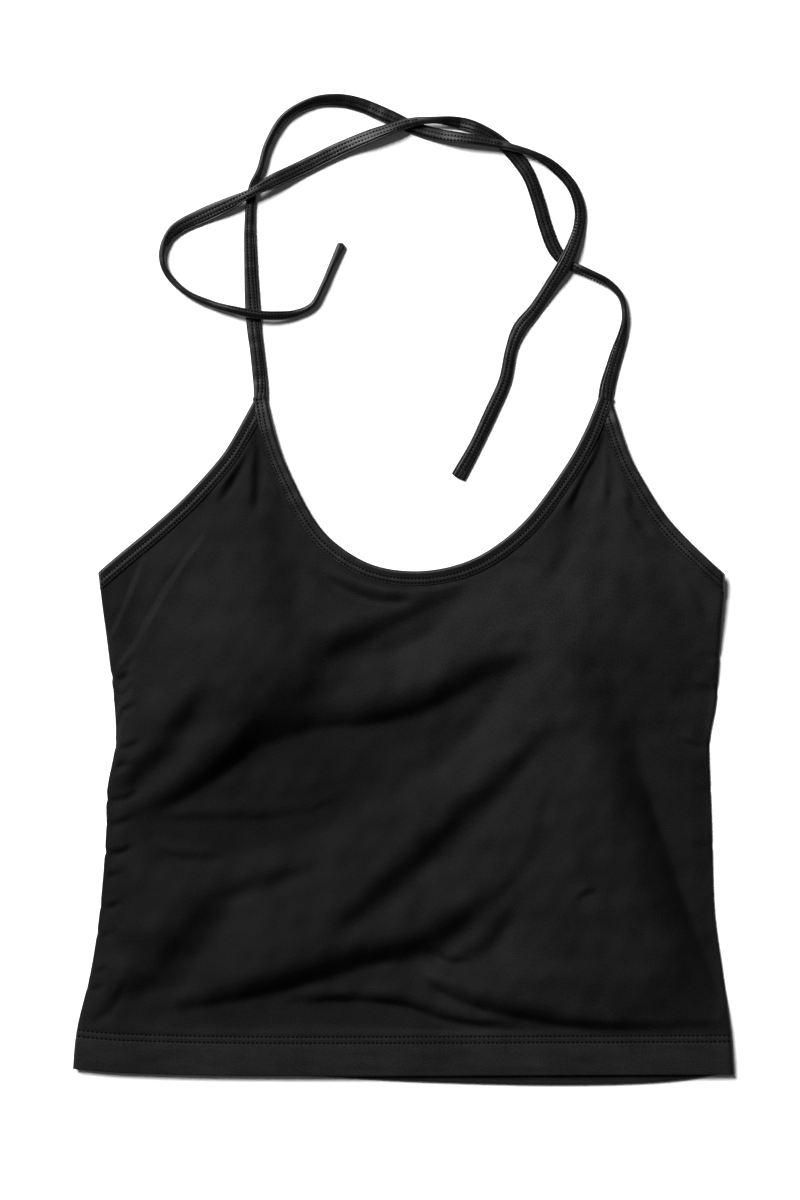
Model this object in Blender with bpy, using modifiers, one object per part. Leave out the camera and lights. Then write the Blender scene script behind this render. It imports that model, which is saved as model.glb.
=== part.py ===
"""Halter neck top, laid flat on its back with its two neck ties crossed above it.

Metres, +Z up.  The top lies on the plane Z = 0 with its neck towards +Y, its front
facing up.  The outline and fold tables are in millimetres and are scaled as they are
read.  Left and right are as seen from above, with the neck at the top.
"""

import math
from collections import namedtuple

import bmesh
import bpy
import numpy as np

MM = 0.001

# Cloth
WALL = 1.0 * MM              # one layer of cloth
GAP = 0.3 * MM               # air between two layers that touch in the real top
LAYER = WALL + GAP

# Strip that binds every upper edge
BAND_WIDTH = 9.0 * MM        # width of the folded strip
BAND_HEIGHT = 3 * WALL + 2 * GAP
BAND_INSET = WALL + 4 * GAP  # from the strip's outer edge to the edge of the panel in it
BAND_FLAT = 10.0 * MM        # the panel stays level this far in from the strip's edge
BAND_EASE = 22.0 * MM        # and takes this much more to reach its free height

# Hems
HEM_DEPTH = 26.0 * MM        # height of the turned-up cloth
HEM_LEVEL = 31.0 * MM        # the front stays level this far above its hem
HEM_EASE = 30.0 * MM
FOLD_RADIUS = LAYER / 2
HEM_PLACE = -210.0 * MM      # about where the hems lie

# Top edge of the back, hidden under the front
BACK_TOP = 80.0 * MM         # level part
BACK_RISE = 26.0 * MM        # rise from there to the sides
BACK_LEVEL_HALF = 110.0 * MM
SIDE_HALF = 205.0 * MM
BACK_RAMP = 15.0 * MM        # the back climbs into its strip over this length

# Rise of the front over the strip on the back, along Y from the strip's top edge
OVER_START = -34.0 * MM
OVER_FULL = -12.0 * MM
OVER_END = 8.0 * MM
OVER_FLOOR = 62.0 * MM

# Fullness of the front
PUFF = 2.4 * MM              # general lift of the loose cloth
SIDE_EASE = 34.0 * MM        # the lift fades over this width at the sides
SEAM_EASE = 14.0 * MM        # the front comes down to the side seam over this width
Cup = namedtuple("Cup", "x y across along height")
CUPS = (
    Cup(-88, 62, 46, 56, 5.0),
    Cup(115, 62, 46, 56, 5.0),
)

# Side edges: height, left edge and right edge
Side = namedtuple("Side", "y left right")
SIDES = (
    Side(-215, -211.5, 211.5),
    Side(-184, -208.6, 209.3),
    Side(-146, -199.7, 204.2),
    Side(-107, -193.9, 199.0),
    Side(-60, -190.1, 197.5),
    Side(-31, -189.4, 196.5),
    Side(0, -183.9, 195.8),
    Side(27, -185.0, 200.3),
    Side(65, -189.4, 202.9),
    Side(107, -194.6, 205.8),
)

# Fold lines of the two hems: x and y
FRONT_HEM = ((-212, -207.5), (-171, -210.6), (-66, -212.3), (212, -211.3))
BACK_HEM = ((-212, -206.5), (-171, -209.6), (-60, -212.8), (20, -216.2), (95, -217.9), (160, -216.4),
            (212, -210.5))

# Outer edge of the strips: armhole, neckline, armhole
LEFT_ARMHOLE = ((-205.5, 99.2), (-181.1, 120.3), (-160.6, 137.6), (-140.2, 156.2), (-119.7, 178.6),
                (-109.4, 193.3), (-95.5, 218.5))
NECKLINE = ((-86.6, 219.0), (-81.3, 196.5), (-73.6, 175.4), (-58.2, 145.3), (-42.9, 127.4),
            (-19.8, 113.7), (7.0, 109.4), (33.9, 113.3), (57.0, 124.2), (80.0, 144.0),
            (103.0, 175.4), (115.2, 197.0), (124.4, 219.0))
RIGHT_ARMHOLE = ((133.6, 218.5), (144.0, 186.9), (154.2, 167.0), (169.6, 143.4), (190.1, 121.6),
                 (216.0, 98.0))

# Largest folds of the front: ends, sideways bow at the middle, half width and depth
Fold = namedtuple("Fold", "x0 y0 x1 y1 bow width depth")
FOLDS = (
    Fold(84, 67, -50, 11, 8, 10, 4.6),
    Fold(76, 47, 41, 12, 0, 9, -2.0),
    Fold(92, 41, -3, -80, 0, 10, 3.2),
    Fold(-102, 16, -189, -51, 11, 9, 3.0),
    Fold(-45, -40, -164, -53, 2, 10, 2.4),
    Fold(11, -68, -48, -121, 0, 9, 2.4),
    Fold(-115, -99, -196, -177, 0, 10, 2.8),
    Fold(30, -115, -132, -169, 4, 12, 3.8),
    Fold(-3, -145, 128, -184, -5, 10, 2.8),
    Fold(138, 35, 166, -39, 0, 10, 2.4),
    Fold(151, -54, 204, -167, 0, 10, 2.8),
)

# Neck ties, from the neck point to the free end: place of the middle line, height of
# the underside, width of the strip where it lies flat or gathers in on itself, roll
Tie = namedtuple("Tie", "x y rise width roll")
TIE_SECTION = 17.5           # the strip's section keeps this area, in square millimetres
TIE_STEP = 10.0 * MM         # between two sections of a tie
TIE_LEFT = (
    Tie(-90.9, 219.5, 0.8, 9.0, 0),
    Tie(-91.2, 230.0, 0.0, 9.0, 0),
    Tie(-93.4, 249.6, 0.0, 9.2, 0),
    Tie(-95.2, 264.0, 0.0, 9.4, 0),
    Tie(-96.6, 286.0, 0.0, 9.4, 0),
    Tie(-97.6, 311.0, 0.0, 8.3, 0),
    Tie(-97.9, 334.0, 0.0, 6.8, 0),
    Tie(-96.2, 353.5, 0.0, 6.2, 0),
    Tie(-91.4, 366.5, 0.0, 4.6, 6),
    Tie(-86.4, 382.7, 0.0, 5.0, 6),
    Tie(-76.2, 399.2, 0.0, 5.6, 4),
    Tie(-59.5, 408.7, 0.0, 6.6, 4),
    Tie(-42.9, 410.6, 0.0, 8.0, 4),
    Tie(-27.5, 407.8, 0.0, 9.0, 0),
    Tie(-10.0, 400.6, 0.0, 9.0, 0),
    Tie(7.0, 392.9, 0.0, 8.6, 0),
    Tie(24.0, 388.0, 0.6, 8.2, 0),
    Tie(39.0, 385.6, 2.3, 8.0, 0),
    Tie(54.0, 383.2, 2.7, 6.4, 0),
    Tie(68.0, 380.4, 2.7, 4.8, 0),
    Tie(82.5, 376.0, 2.2, 4.6, 0),
    Tie(95.5, 368.6, 1.0, 6.4, 0),
    Tie(107.2, 356.8, 0.0, 7.2, 0),
    Tie(112.8, 343.0, 0.0, 7.2, 0),
    Tie(112.8, 330.6, 0.2, 7.8, 0),
    Tie(108.8, 317.6, 2.6, 8.8, 0),
    Tie(102.6, 304.4, 3.1, 9.0, 0),
    Tie(95.0, 292.8, 1.8, 8.6, 0),
    Tie(84.5, 277.0, 0.0, 8.4, 0),
    Tie(74.4, 264.6, 0.0, 8.8, 0),
    Tie(69.0, 250.6, 0.0, 7.6, 0),
    Tie(65.0, 231.0, 0.0, 8.2, 0),
    Tie(56.1, 210.6, 0.0, 8.3, 0),
    Tie(45.8, 188.8, 0.0, 8.5, 0),
    Tie(34.9, 168.8, 0.0, 9.2, 0),
)
TIE_RIGHT = (
    Tie(129.1, 219.5, 0.8, 9.0, 0),
    Tie(131.4, 230.4, 0.0, 9.2, 0),
    Tie(136.0, 246.4, 0.0, 8.6, 0),
    Tie(140.2, 260.0, 0.0, 6.4, 0),
    Tie(141.8, 272.0, 0.0, 4.2, 0),
    Tie(139.7, 284.6, 0.0, 4.3, 0),
    Tie(131.0, 293.9, 0.0, 5.2, 0),
    Tie(118.4, 300.4, 0.0, 5.5, 0),
    Tie(105.6, 305.8, 0.0, 7.0, 0),
    Tie(97.0, 315.4, 0.0, 8.8, 0),
    Tie(91.2, 329.8, 0.0, 8.7, 0),
    Tie(86.5, 346.2, 0.0, 8.7, 0),
    Tie(80.6, 362.2, 0.0, 8.9, 0),
    Tie(73.4, 373.0, 0.0, 8.8, 0),
    Tie(65.0, 381.3, 0.0, 8.6, 0),
    Tie(55.0, 388.7, 0.0, 8.6, 0),
    Tie(43.2, 394.3, 0.0, 8.2, 0),
    Tie(31.0, 396.8, 0.9, 6.6, 0),
    Tie(20.4, 397.6, 2.3, 4.8, 0),
    Tie(7.0, 396.4, 2.6, 5.6, 0),
    Tie(-5.6, 392.4, 2.6, 8.0, 0),
    Tie(-20.0, 387.6, 1.8, 9.2, 0),
    Tie(-40.0, 379.4, 0.6, 9.6, 0),
    Tie(-65.0, 367.0, 1.6, 9.6, 0),
    Tie(-82.0, 358.8, 3.3, 9.2, 0),
    Tie(-96.6, 351.0, 3.6, 8.6, 0),
    Tie(-111.0, 344.0, 2.8, 8.8, 0),
    Tie(-128.0, 336.7, 0.4, 9.6, 0),
    Tie(-143.4, 329.0, 0.0, 9.0, 0),
    Tie(-151.8, 320.0, 0.0, 5.4, 0),
    Tie(-154.2, 309.0, 0.0, 4.1, 0),
    Tie(-149.7, 298.2, 0.0, 4.2, 0),
    Tie(-137.6, 287.1, 0.0, 4.2, 0),
    Tie(-121.6, 280.0, 0.6, 4.8, 0),
    Tie(-108.0, 276.2, 2.0, 5.4, 0),
    Tie(-95.6, 273.6, 2.5, 6.0, 0),
    Tie(-83.0, 272.6, 2.1, 6.0, 0),
    Tie(-69.6, 273.9, 0.4, 5.0, 0),
    Tie(-58.0, 279.3, 0.0, 4.2, 0),
    Tie(-51.6, 290.6, 0.0, 3.8, 0),
    Tie(-45.9, 303.4, 0.0, 4.3, 0),
    Tie(-38.7, 319.2, 0.0, 5.6, 0),
)

# Places along Y inside the strips
PANEL_TIP = 205 * MM         # the front panel ends here at the neck points
STRIP_TIP = 214 * MM         # the armhole strips end here, beside the neck strip
CORNER = 102 * MM            # the strips reach the sides here
SEAM_FADE = (44 * MM, 72 * MM)   # the side seams give way to the strips between these

# Fineness of the faceted cloth
EDGE_STEP = 6 * MM           # between points of the short lines
LONG_STEP = 8 * MM           # between points of the long ones
LEFT_COLUMNS = 12            # front panel, from the left side to the left neck point
NECK_COLUMNS = 24            # between the neck points
RIGHT_COLUMNS = 9
BUNCHING = 1.25              # power that bunches the columns towards the neck points
FRONT_ROWS = 15              # between the level hem and the level upper edge
BACK_ROWS = 7
BACK_COLUMNS = 22
BACK_STRIP_POINTS = 36
STEEPEST_EDGE = 3.0          # slope of an upper edge past which the level part grows no wider
TIE_ROUNDING = 0.35          # share of a tie's thickness that its edges are rounded by
SHARP_ANGLE = math.radians(50)


# ---------------------------------------------------------------- numbers and curves

def smooth_step(value, low, high):
    """0 below low, 1 above high, and an S curve between."""
    share = np.clip((value - low) / (high - low), 0.0, 1.0)
    return share * share * (3.0 - 2.0 * share)


def smooth_line(points, spacing):
    """Catmull-Rom curve through the rows of points, read at an even spacing."""
    knots = np.asarray(points, dtype=float)
    padded = np.vstack((2 * knots[0] - knots[1], knots, 2 * knots[-1] - knots[-2]))
    share = np.linspace(0.0, 1.0, 13)[:-1, None]
    pieces = []
    for a, b, c, d in zip(padded, padded[1:], padded[2:], padded[3:]):
        pieces.append(0.5 * (2 * b + (c - a) * share + (2 * a - 5 * b + 4 * c - d) * share ** 2
                             + (3 * b - a - 3 * c + d) * share ** 3))
    dense = np.vstack(pieces + [knots[-1:]])
    steps = np.linalg.norm(np.diff(dense[:, :2], axis=0), axis=1)
    along = np.concatenate(([0.0], np.cumsum(steps)))
    count = int(round(along[-1] / spacing)) + 1
    wanted = np.linspace(0.0, along[-1], count)
    return np.column_stack([np.interp(wanted, along, column) for column in dense.T])


def in_metres(table):
    return np.asarray(table, dtype=float) * MM


def read_line(line, x):
    """The y of a line that runs from left to right, at x."""
    return np.interp(x, line[:, 0], line[:, 1])


def nearest_on_line(x, y, line):
    """Distance from each point to the line, and the nearest place on it."""
    start = line[:-1]
    run = line[1:] - start
    length = (run ** 2).sum(axis=1)
    place = np.stack((x, y), axis=-1)[..., None, :]
    share = np.clip(((place - start) * run).sum(axis=-1) / length, 0.0, 1.0)
    near = start + share[..., None] * run
    distance = np.linalg.norm(place - near, axis=-1)
    best = distance.argmin(axis=-1)
    row = np.take_along_axis(near, best[..., None, None], axis=-2)[..., 0, :]
    return np.take_along_axis(distance, best[..., None], axis=-1)[..., 0], row[..., 0], row[..., 1]


LEFT_EDGE = smooth_line(in_metres(LEFT_ARMHOLE), EDGE_STEP)
NECK_EDGE = smooth_line(in_metres(NECKLINE), LONG_STEP)
RIGHT_EDGE = smooth_line(in_metres(RIGHT_ARMHOLE), EDGE_STEP)
TOP_EDGE = np.vstack((LEFT_EDGE, NECK_EDGE, RIGHT_EDGE))
FRONT_HEM_LINE = smooth_line(in_metres(FRONT_HEM), LONG_STEP)
BACK_HEM_LINE = smooth_line(in_metres(BACK_HEM), LONG_STEP)
SIDE_LINES = smooth_line(in_metres(SIDES), EDGE_STEP)
NECK_POINTS = ((LEFT_EDGE[-1, 0] + NECK_EDGE[0, 0]) / 2, (RIGHT_EDGE[0, 0] + NECK_EDGE[-1, 0]) / 2)


# ---------------------------------------------------------------- shape of the panels

def side_at(share, y):
    """X of a column that keeps its share of the width; -1 and 1 are the side edges."""
    left = -np.interp(y, SIDE_LINES[:, 0], SIDE_LINES[:, 1])
    right = np.interp(y, SIDE_LINES[:, 0], SIDE_LINES[:, 2])
    return share * np.where(share < 0, left, right)


def side_distance(x, y):
    left = np.interp(y, SIDE_LINES[:, 0], SIDE_LINES[:, 1])
    right = np.interp(y, SIDE_LINES[:, 0], SIDE_LINES[:, 2])
    return np.minimum(x - left, right - x)


def inset_line(line):
    """The line moved down so that it lies inside a strip whose outer edge it is."""
    slope = np.gradient(line[:, 1], line[:, 0])
    return line - np.column_stack((np.zeros(len(line)), BAND_INSET * np.sqrt(1 + slope ** 2)))


def front_top(x):
    """Upper edge of the front panel: armholes and neckline, cut off at the neck points."""
    armhole_left = read_line(inset_line(LEFT_EDGE), x)
    neck = read_line(inset_line(NECK_EDGE), x)
    armhole_right = read_line(inset_line(RIGHT_EDGE), x)
    neck = np.where((x < NECK_EDGE[0, 0]) | (x > NECK_EDGE[-1, 0]), PANEL_TIP, neck)
    middle = (NECK_POINTS[0] + NECK_POINTS[1]) / 2
    armhole = np.where(x < middle, armhole_left, armhole_right)
    beside = (x < LEFT_EDGE[-1, 0]) | (x > RIGHT_EDGE[0, 0])
    return np.minimum(np.where(beside, armhole, neck), PANEL_TIP)


def back_edge(x):
    """Top edge of the strip on the back: level, with a rise to each side."""
    share = np.clip((np.abs(x) - BACK_LEVEL_HALF) / (SIDE_HALF - BACK_LEVEL_HALF), 0.0, None)
    return BACK_TOP + BACK_RISE * share ** 2


def back_underside(x, y):
    """The back lies on the floor and climbs into its strip by one layer."""
    below = back_edge(x) - y
    return LAYER * (1 - smooth_step(below, BAND_FLAT, BAND_FLAT + BACK_RAMP))


def stack_height(x, y):
    """Top of the back and whatever is folded on it, plus the air gap."""
    above = y - back_edge(x)
    over_strip = BAND_HEIGHT + GAP
    climbed = LAYER + (over_strip - LAYER) * smooth_step(above, OVER_START, OVER_FULL)
    beyond = over_strip * (1 - smooth_step(above, OVER_END, OVER_FLOOR))
    upper = np.where(above < OVER_END, climbed, beyond)
    hem_height = y - read_line(FRONT_HEM_LINE, x)
    return upper + LAYER * (1 - smooth_step(hem_height, HEM_LEVEL, HEM_LEVEL + HEM_EASE))


def fold_depth(x, y, fold):
    """Depth of one fold: a soft trough along a bowed line, fading out at its ends."""
    run = np.array((fold.x1 - fold.x0, fold.y1 - fold.y0)) * MM
    length = np.hypot(*run)
    ahead = run / length
    from_start = (x - fold.x0 * MM, y - fold.y0 * MM)
    share = (from_start[0] * ahead[0] + from_start[1] * ahead[1]) / length
    aside = from_start[1] * ahead[0] - from_start[0] * ahead[1]
    inside = np.clip(share, 0.0, 1.0)
    offset = aside - fold.bow * MM * 4 * inside * (1 - inside)
    fade = np.sin(math.pi * inside) ** 0.7
    return fold.depth * MM * fade * np.exp(-(offset / (fold.width * MM)) ** 2)


def front_relief(x, y):
    """Lift of the loose cloth: general fullness, two cups, and the folds cut into them."""
    lift = np.full(np.shape(x), PUFF)
    for cup in CUPS:
        across = (x - cup.x * MM) / (cup.across * MM)
        along = (y - cup.y * MM) / (cup.along * MM)
        lift = lift + cup.height * MM * np.exp(-across ** 2 - along ** 2)
    for fold in FOLDS:
        lift = lift - fold_depth(x, y, fold)
    hem_height = y - read_line(FRONT_HEM_LINE, x)
    free = smooth_step(side_distance(x, y), 0.0, SIDE_EASE)
    free = free * smooth_step(hem_height, HEM_LEVEL - 4 * MM, HEM_LEVEL + HEM_EASE)
    return np.maximum(lift, -LAYER + GAP) * free


def front_underside(x, y):
    """Underside of the front's outer layer."""
    distance, near_x, near_y = nearest_on_line(x, y, TOP_EDGE)
    loose = smooth_step(distance, BAND_FLAT, BAND_FLAT + BAND_EASE)
    free_height = stack_height(x, y) + front_relief(x, y)
    height = LAYER + (1 - loose) * stack_height(near_x, near_y) + loose * free_height
    hem_height = y - read_line(FRONT_HEM_LINE, x)
    seam = 1 - smooth_step(side_distance(x, y), 0.0, SEAM_EASE)
    seam = seam * smooth_step(hem_height, HEM_LEVEL, HEM_LEVEL + HEM_EASE)
    seam = seam * (1 - smooth_step(y, *SEAM_FADE))
    return height - LAYER * seam


# ---------------------------------------------------------------- making the objects

def start_scene():
    for old in list(bpy.data.objects):
        bpy.data.objects.remove(old, do_unlink=True)
    parts = bpy.data.collections.new("halter_top")
    guides = bpy.data.collections.new("halter_top_guides")
    for group in (parts, guides):
        bpy.context.scene.collection.children.link(group)
    return parts, guides


def cloth_material(name, shade, roughness):
    """Black stretch jersey: a dark, soft-edged sheen."""
    material = bpy.data.materials.new(name)
    material.use_nodes = True
    shader = material.node_tree.nodes["Principled BSDF"]
    shader.inputs["Base Color"].default_value = (shade, shade, shade, 1.0)
    shader.inputs["Roughness"].default_value = roughness
    shader.inputs["Metallic"].default_value = 0.0
    material.diffuse_color = (shade, shade, shade, 1.0)
    return material


def adopt(obj, name, group, material):
    """Gives the object its name and material and leaves it in one collection only."""
    for held in list(obj.users_collection):
        held.objects.unlink(obj)
    group.objects.link(obj)
    obj.name = name
    obj.data.name = name
    obj.data.materials.clear()
    obj.data.materials.append(material)
    return obj


def grid_panel(name, group, material, points):
    """A grid primitive laid on the array of points (rows, columns, 3), made one wall thick."""
    rows, columns = points.shape[:2]
    bpy.ops.mesh.primitive_grid_add(x_subdivisions=columns - 1, y_subdivisions=rows - 1)
    panel = bpy.context.object
    if len(panel.data.vertices) != rows * columns:
        raise ValueError(f"{name}: the grid has {len(panel.data.vertices)} points")
    panel.data.vertices.foreach_set("co", points.reshape(-1).astype(np.float32))
    panel.data.update()
    wall = panel.modifiers.new("cloth", "SOLIDIFY")
    wall.thickness = WALL
    wall.offset = 0.0
    wall.use_even_offset = True
    panel.data.shade_smooth()
    panel.data.set_sharp_from_angle(angle=SHARP_ANGLE)
    return adopt(panel, name, group, material)


def hem_fold(share, hem_line):
    """Y of a hem's fold at each column."""
    return read_line(hem_line, side_at(share, HEM_PLACE))


def hem_rows(share, hem_line, outer, inner):
    """Rows of a turned-up hem: up the inside from its raw edge, and round the fold.

    outer and inner are the middle heights of the two legs."""
    low = hem_fold(share, hem_line)

    def row(height, level):
        return np.column_stack((side_at(share, low + height), low + height, np.full(len(low), level)))

    turned = [row(HEM_DEPTH, inner), row(0.0, inner)]
    centre = (outer + inner) / 2
    half = (outer - inner) / 2
    for angle in (-45, 0, 45):
        turn = math.radians(angle)
        turned.append(row(-FOLD_RADIUS * math.cos(turn), centre + half * math.sin(turn)))
    return turned


def make_front(group, material):
    """Front panel: columns bunched towards the neck points, rows from hem to upper edge."""
    left_side = np.linspace(0.0, 1.0, LEFT_COLUMNS + 1) ** BUNCHING
    right_side = 1 - np.linspace(1.0, 0.0, RIGHT_COLUMNS + 1) ** BUNCHING
    across = np.linspace(0.0, 1.0, NECK_COLUMNS + 1)
    across = 0.5 * across + 0.25 * (1 - np.cos(math.pi * across))
    left_end, right_end = SIDE_LINES[-1, 1:]
    columns = np.concatenate((
        left_end + (NECK_POINTS[0] - left_end) * left_side,
        NECK_POINTS[0] + (NECK_POINTS[1] - NECK_POINTS[0]) * across[1:-1],
        NECK_POINTS[1] + (right_end - NECK_POINTS[1]) * right_side,
    ))
    share = columns / np.where(columns < 0, -left_end, right_end)
    top = front_top(columns)

    outer = BAND_HEIGHT + GAP + WALL / 2
    rows = hem_rows(share, FRONT_HEM_LINE, outer, outer - LAYER)
    slope = np.abs(np.gradient(top, columns))
    level_top = BAND_FLAT * np.sqrt(1 + np.minimum(slope, STEEPEST_EDGE) ** 2)
    low = hem_fold(share, FRONT_HEM_LINE)
    heights = [low, low + HEM_LEVEL]
    for step in np.linspace(0.0, 1.0, FRONT_ROWS + 1)[1:]:
        heights.append(low + HEM_LEVEL + (top - level_top - low - HEM_LEVEL) * step)
    heights.append(top)
    for y in heights:
        x = side_at(share, y)
        rows.append(np.column_stack((x, y, front_underside(x, y) + WALL / 2)))
    return grid_panel("front_panel", group, material, np.array(rows))


def make_back(group, material):
    """Back panel: flat on the floor, its hem turned up on the inside."""
    share = np.linspace(-1.0, 1.0, BACK_COLUMNS + 1)
    rows = hem_rows(share, BACK_HEM_LINE, WALL / 2, WALL / 2 + LAYER)
    low = hem_fold(share, BACK_HEM_LINE)
    top_x = side_at(share, CORNER)
    top = back_edge(top_x) - BAND_INSET
    ramp_end = back_edge(top_x) - BAND_FLAT
    ramp_start = ramp_end - BACK_RAMP
    heights = [low + (ramp_start - low) * step for step in np.linspace(0.0, 1.0, BACK_ROWS + 1)]
    heights += [ramp_start + (ramp_end - ramp_start) / 2, ramp_end, top]
    for y in heights:
        x = side_at(share, y)
        rows.append(np.column_stack((x, y, back_underside(x, y) + WALL / 2)))
    return grid_panel("back_panel", group, material, np.array(rows))


def strip_profile(guides):
    """Cross-section of the folded strip: a C, open towards the panel.

    X is the distance in from the outer edge, Y is up."""
    half = BAND_HEIGHT / 2
    slot = half - WALL
    soft = 0.5 * MM
    outline = (
        (BAND_WIDTH, -half), (soft, -half), (0.0, -half + soft), (0.0, half - soft), (soft, half),
        (BAND_WIDTH, half), (BAND_WIDTH, slot), (WALL, slot), (WALL, -slot), (BAND_WIDTH, -slot),
    )
    curve = bpy.data.curves.new("strip_profile", "CURVE")
    curve.dimensions = "2D"
    curve.fill_mode = "NONE"
    spline = curve.splines.new("POLY")
    spline.points.add(len(outline) - 1)
    spline.points.foreach_set("co", [value for x, y in outline for value in (x, y, 0.0, 1.0)])
    spline.use_cyclic_u = True
    profile = bpy.data.objects.new("strip_profile", curve)
    profile.hide_render = True
    profile.display_type = "WIRE"
    guides.objects.link(profile)
    return profile


def make_strip(name, group, material, profile, line, height):
    """The strip's section carried along its outer edge; the panel lies on its right."""
    curve = bpy.data.curves.new(name, "CURVE")
    curve.dimensions = "3D"
    curve.twist_mode = "Z_UP"
    curve.bevel_mode = "OBJECT"
    curve.bevel_object = profile
    curve.use_fill_caps = True
    spline = curve.splines.new("POLY")
    spline.points.add(len(line) - 1)
    path = np.column_stack((line, height, np.ones(len(line))))
    spline.points.foreach_set("co", path.reshape(-1).astype(np.float32))
    guide = bpy.data.objects.new(name + "_path", curve)
    group.objects.link(guide)
    bpy.context.view_layer.update()
    mesh = bpy.data.meshes.new_from_object(guide.evaluated_get(bpy.context.evaluated_depsgraph_get()))
    bpy.data.objects.remove(guide, do_unlink=True)
    work = bmesh.new()
    work.from_mesh(mesh)
    bmesh.ops.remove_doubles(work, verts=work.verts, dist=0.01 * MM)
    bmesh.ops.recalc_face_normals(work, faces=work.faces)
    work.to_mesh(mesh)
    work.free()
    return adopt(bpy.data.objects.new(name, mesh), name, group, material)


def cut_end(strip, place, outward):
    """Cuts off all of the strip that lies beyond a vertical plane, and closes the cut."""
    work = bmesh.new()
    work.from_mesh(strip.data)
    everything = list(work.verts) + list(work.edges) + list(work.faces)
    bmesh.ops.bisect_plane(work, geom=everything, dist=0.001 * MM, plane_co=(*place, 0.0),
                           plane_no=(*outward, 0.0), clear_outer=True)
    rim = [edge for edge in work.edges if edge.is_boundary]
    bmesh.ops.holes_fill(work, edges=rim, sides=0)
    bmesh.ops.recalc_face_normals(work, faces=work.faces)
    work.to_mesh(strip.data)
    work.free()


def strip_height(line):
    """Middle height of a front strip: half its thickness above what it lies on."""
    return stack_height(line[:, 0], line[:, 1]) + BAND_HEIGHT / 2


def beside_neck_strip(line, inner):
    """A point on the inner edge of the neck strip near one of its ends, and the outward side."""
    end, before = (line[0], line[2]) if inner > 0 else (line[-1], line[-3])
    ahead = (end - before) / np.linalg.norm(end - before)
    aside = np.array((-ahead[1], ahead[0])) * inner
    return end + aside * (BAND_WIDTH + GAP), -aside


def make_strips(parts, guides, material):
    profile = strip_profile(guides)
    neck_height = strip_height(NECK_EDGE)
    make_strip("neck_binding", parts, material, profile, NECK_EDGE, neck_height)
    left = make_strip("armhole_binding_left", parts, material, profile, LEFT_EDGE, strip_height(LEFT_EDGE))
    right = make_strip("armhole_binding_right", parts, material, profile, RIGHT_EDGE,
                       strip_height(RIGHT_EDGE))
    cut_end(left, *beside_neck_strip(NECK_EDGE, 1))
    cut_end(right, *beside_neck_strip(NECK_EDGE, -1))
    for strip in (left, right):
        cut_end(strip, (0.0, STRIP_TIP), (0.0, 1.0))

    left_side, right_side = side_at(np.array([-1.0, 1.0]), CORNER)
    x = np.linspace(left_side - BAND_WIDTH, right_side + BAND_WIDTH, BACK_STRIP_POINTS)
    back_line = np.column_stack((x, back_edge(x)))
    back = make_strip("back_binding", parts, material, profile, back_line, np.full(len(x), BAND_HEIGHT / 2))
    for strip in (left, back):
        cut_end(strip, (left_side, CORNER), (-1.0, 0.0))
    for strip in (right, back):
        cut_end(strip, (right_side, CORNER), (1.0, 0.0))


def tie_rings(table):
    """Six-sided sections along a tie: rows of points square to its middle line."""
    stations = smooth_line([(t.x * MM, t.y * MM, t.rise * MM, t.width * MM, t.roll) for t in table],
                           TIE_STEP)
    width = stations[:, 3]
    thick = TIE_SECTION * MM ** 2 / width
    roll = np.radians(stations[:, 4])
    round_off = TIE_ROUNDING * thick
    across = np.stack((width / 2, width / 2 - round_off, round_off - width / 2,
                       -width / 2, round_off - width / 2, width / 2 - round_off), axis=1)
    up = np.stack((0 * thick, thick / 2, thick / 2, 0 * thick, -thick / 2, -thick / 2), axis=1)
    level = across * np.cos(roll)[:, None] - up * np.sin(roll)[:, None]
    height = across * np.sin(roll)[:, None] + up * np.cos(roll)[:, None]
    centre = stations[:, :2]
    ahead = np.gradient(centre, axis=0)
    ahead = ahead / np.linalg.norm(ahead, axis=1)[:, None]
    aside = np.stack((ahead[:, 1], -ahead[:, 0]), axis=1)
    flat = centre[:, None, :] + level[..., None] * aside[:, None, :]
    lowest = np.maximum(stations[:, 2], 0.0) - height.min(axis=1)
    return np.concatenate((flat, (lowest[:, None] + height)[..., None]), axis=2)


def make_tie(name, group, material, table):
    """A loft through sections of changing width and thickness, closed at both ends."""
    rings = tie_rings(table)
    count, sides = rings.shape[:2]
    work = bmesh.new()
    points = [[work.verts.new(place) for place in ring] for ring in rings.tolist()]
    for ring, following in zip(points, points[1:]):
        for side in range(sides):
            other = (side + 1) % sides
            work.faces.new((ring[side], ring[other], following[other], following[side]))
    work.faces.new(points[0])
    work.faces.new(points[count - 1])
    bmesh.ops.recalc_face_normals(work, faces=work.faces)
    mesh = bpy.data.meshes.new(name)
    work.to_mesh(mesh)
    work.free()
    mesh.shade_smooth()
    mesh.set_sharp_from_angle(angle=SHARP_ANGLE)
    return adopt(bpy.data.objects.new(name, mesh), name, group, material)


def main():
    parts, guides = start_scene()
    jersey = cloth_material("black_jersey", 0.012, 0.62)
    inner_jersey = cloth_material("black_jersey_back", 0.010, 0.68)
    strip = cloth_material("black_jersey_strip", 0.014, 0.5)
    make_front(parts, jersey)
    make_back(parts, inner_jersey)
    make_strips(parts, guides, strip)
    make_tie("tie_left", parts, cloth_material("black_tie_left", 0.015, 0.5), TIE_LEFT)
    make_tie("tie_right", parts, cloth_material("black_tie_right", 0.015, 0.5), TIE_RIGHT)


main()
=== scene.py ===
"""Halter neck top that lies flat on its back, its two neck ties crossed above it.

Every cloth piece is built from the top's own sizes: the panels with their creases and hems,
the folded strips with two rows of stitching, and the narrow neck ties.  Metres, +Z up; the
neck is towards +Y, and left and right are as seen from above.
"""

import math
from collections import namedtuple

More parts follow.
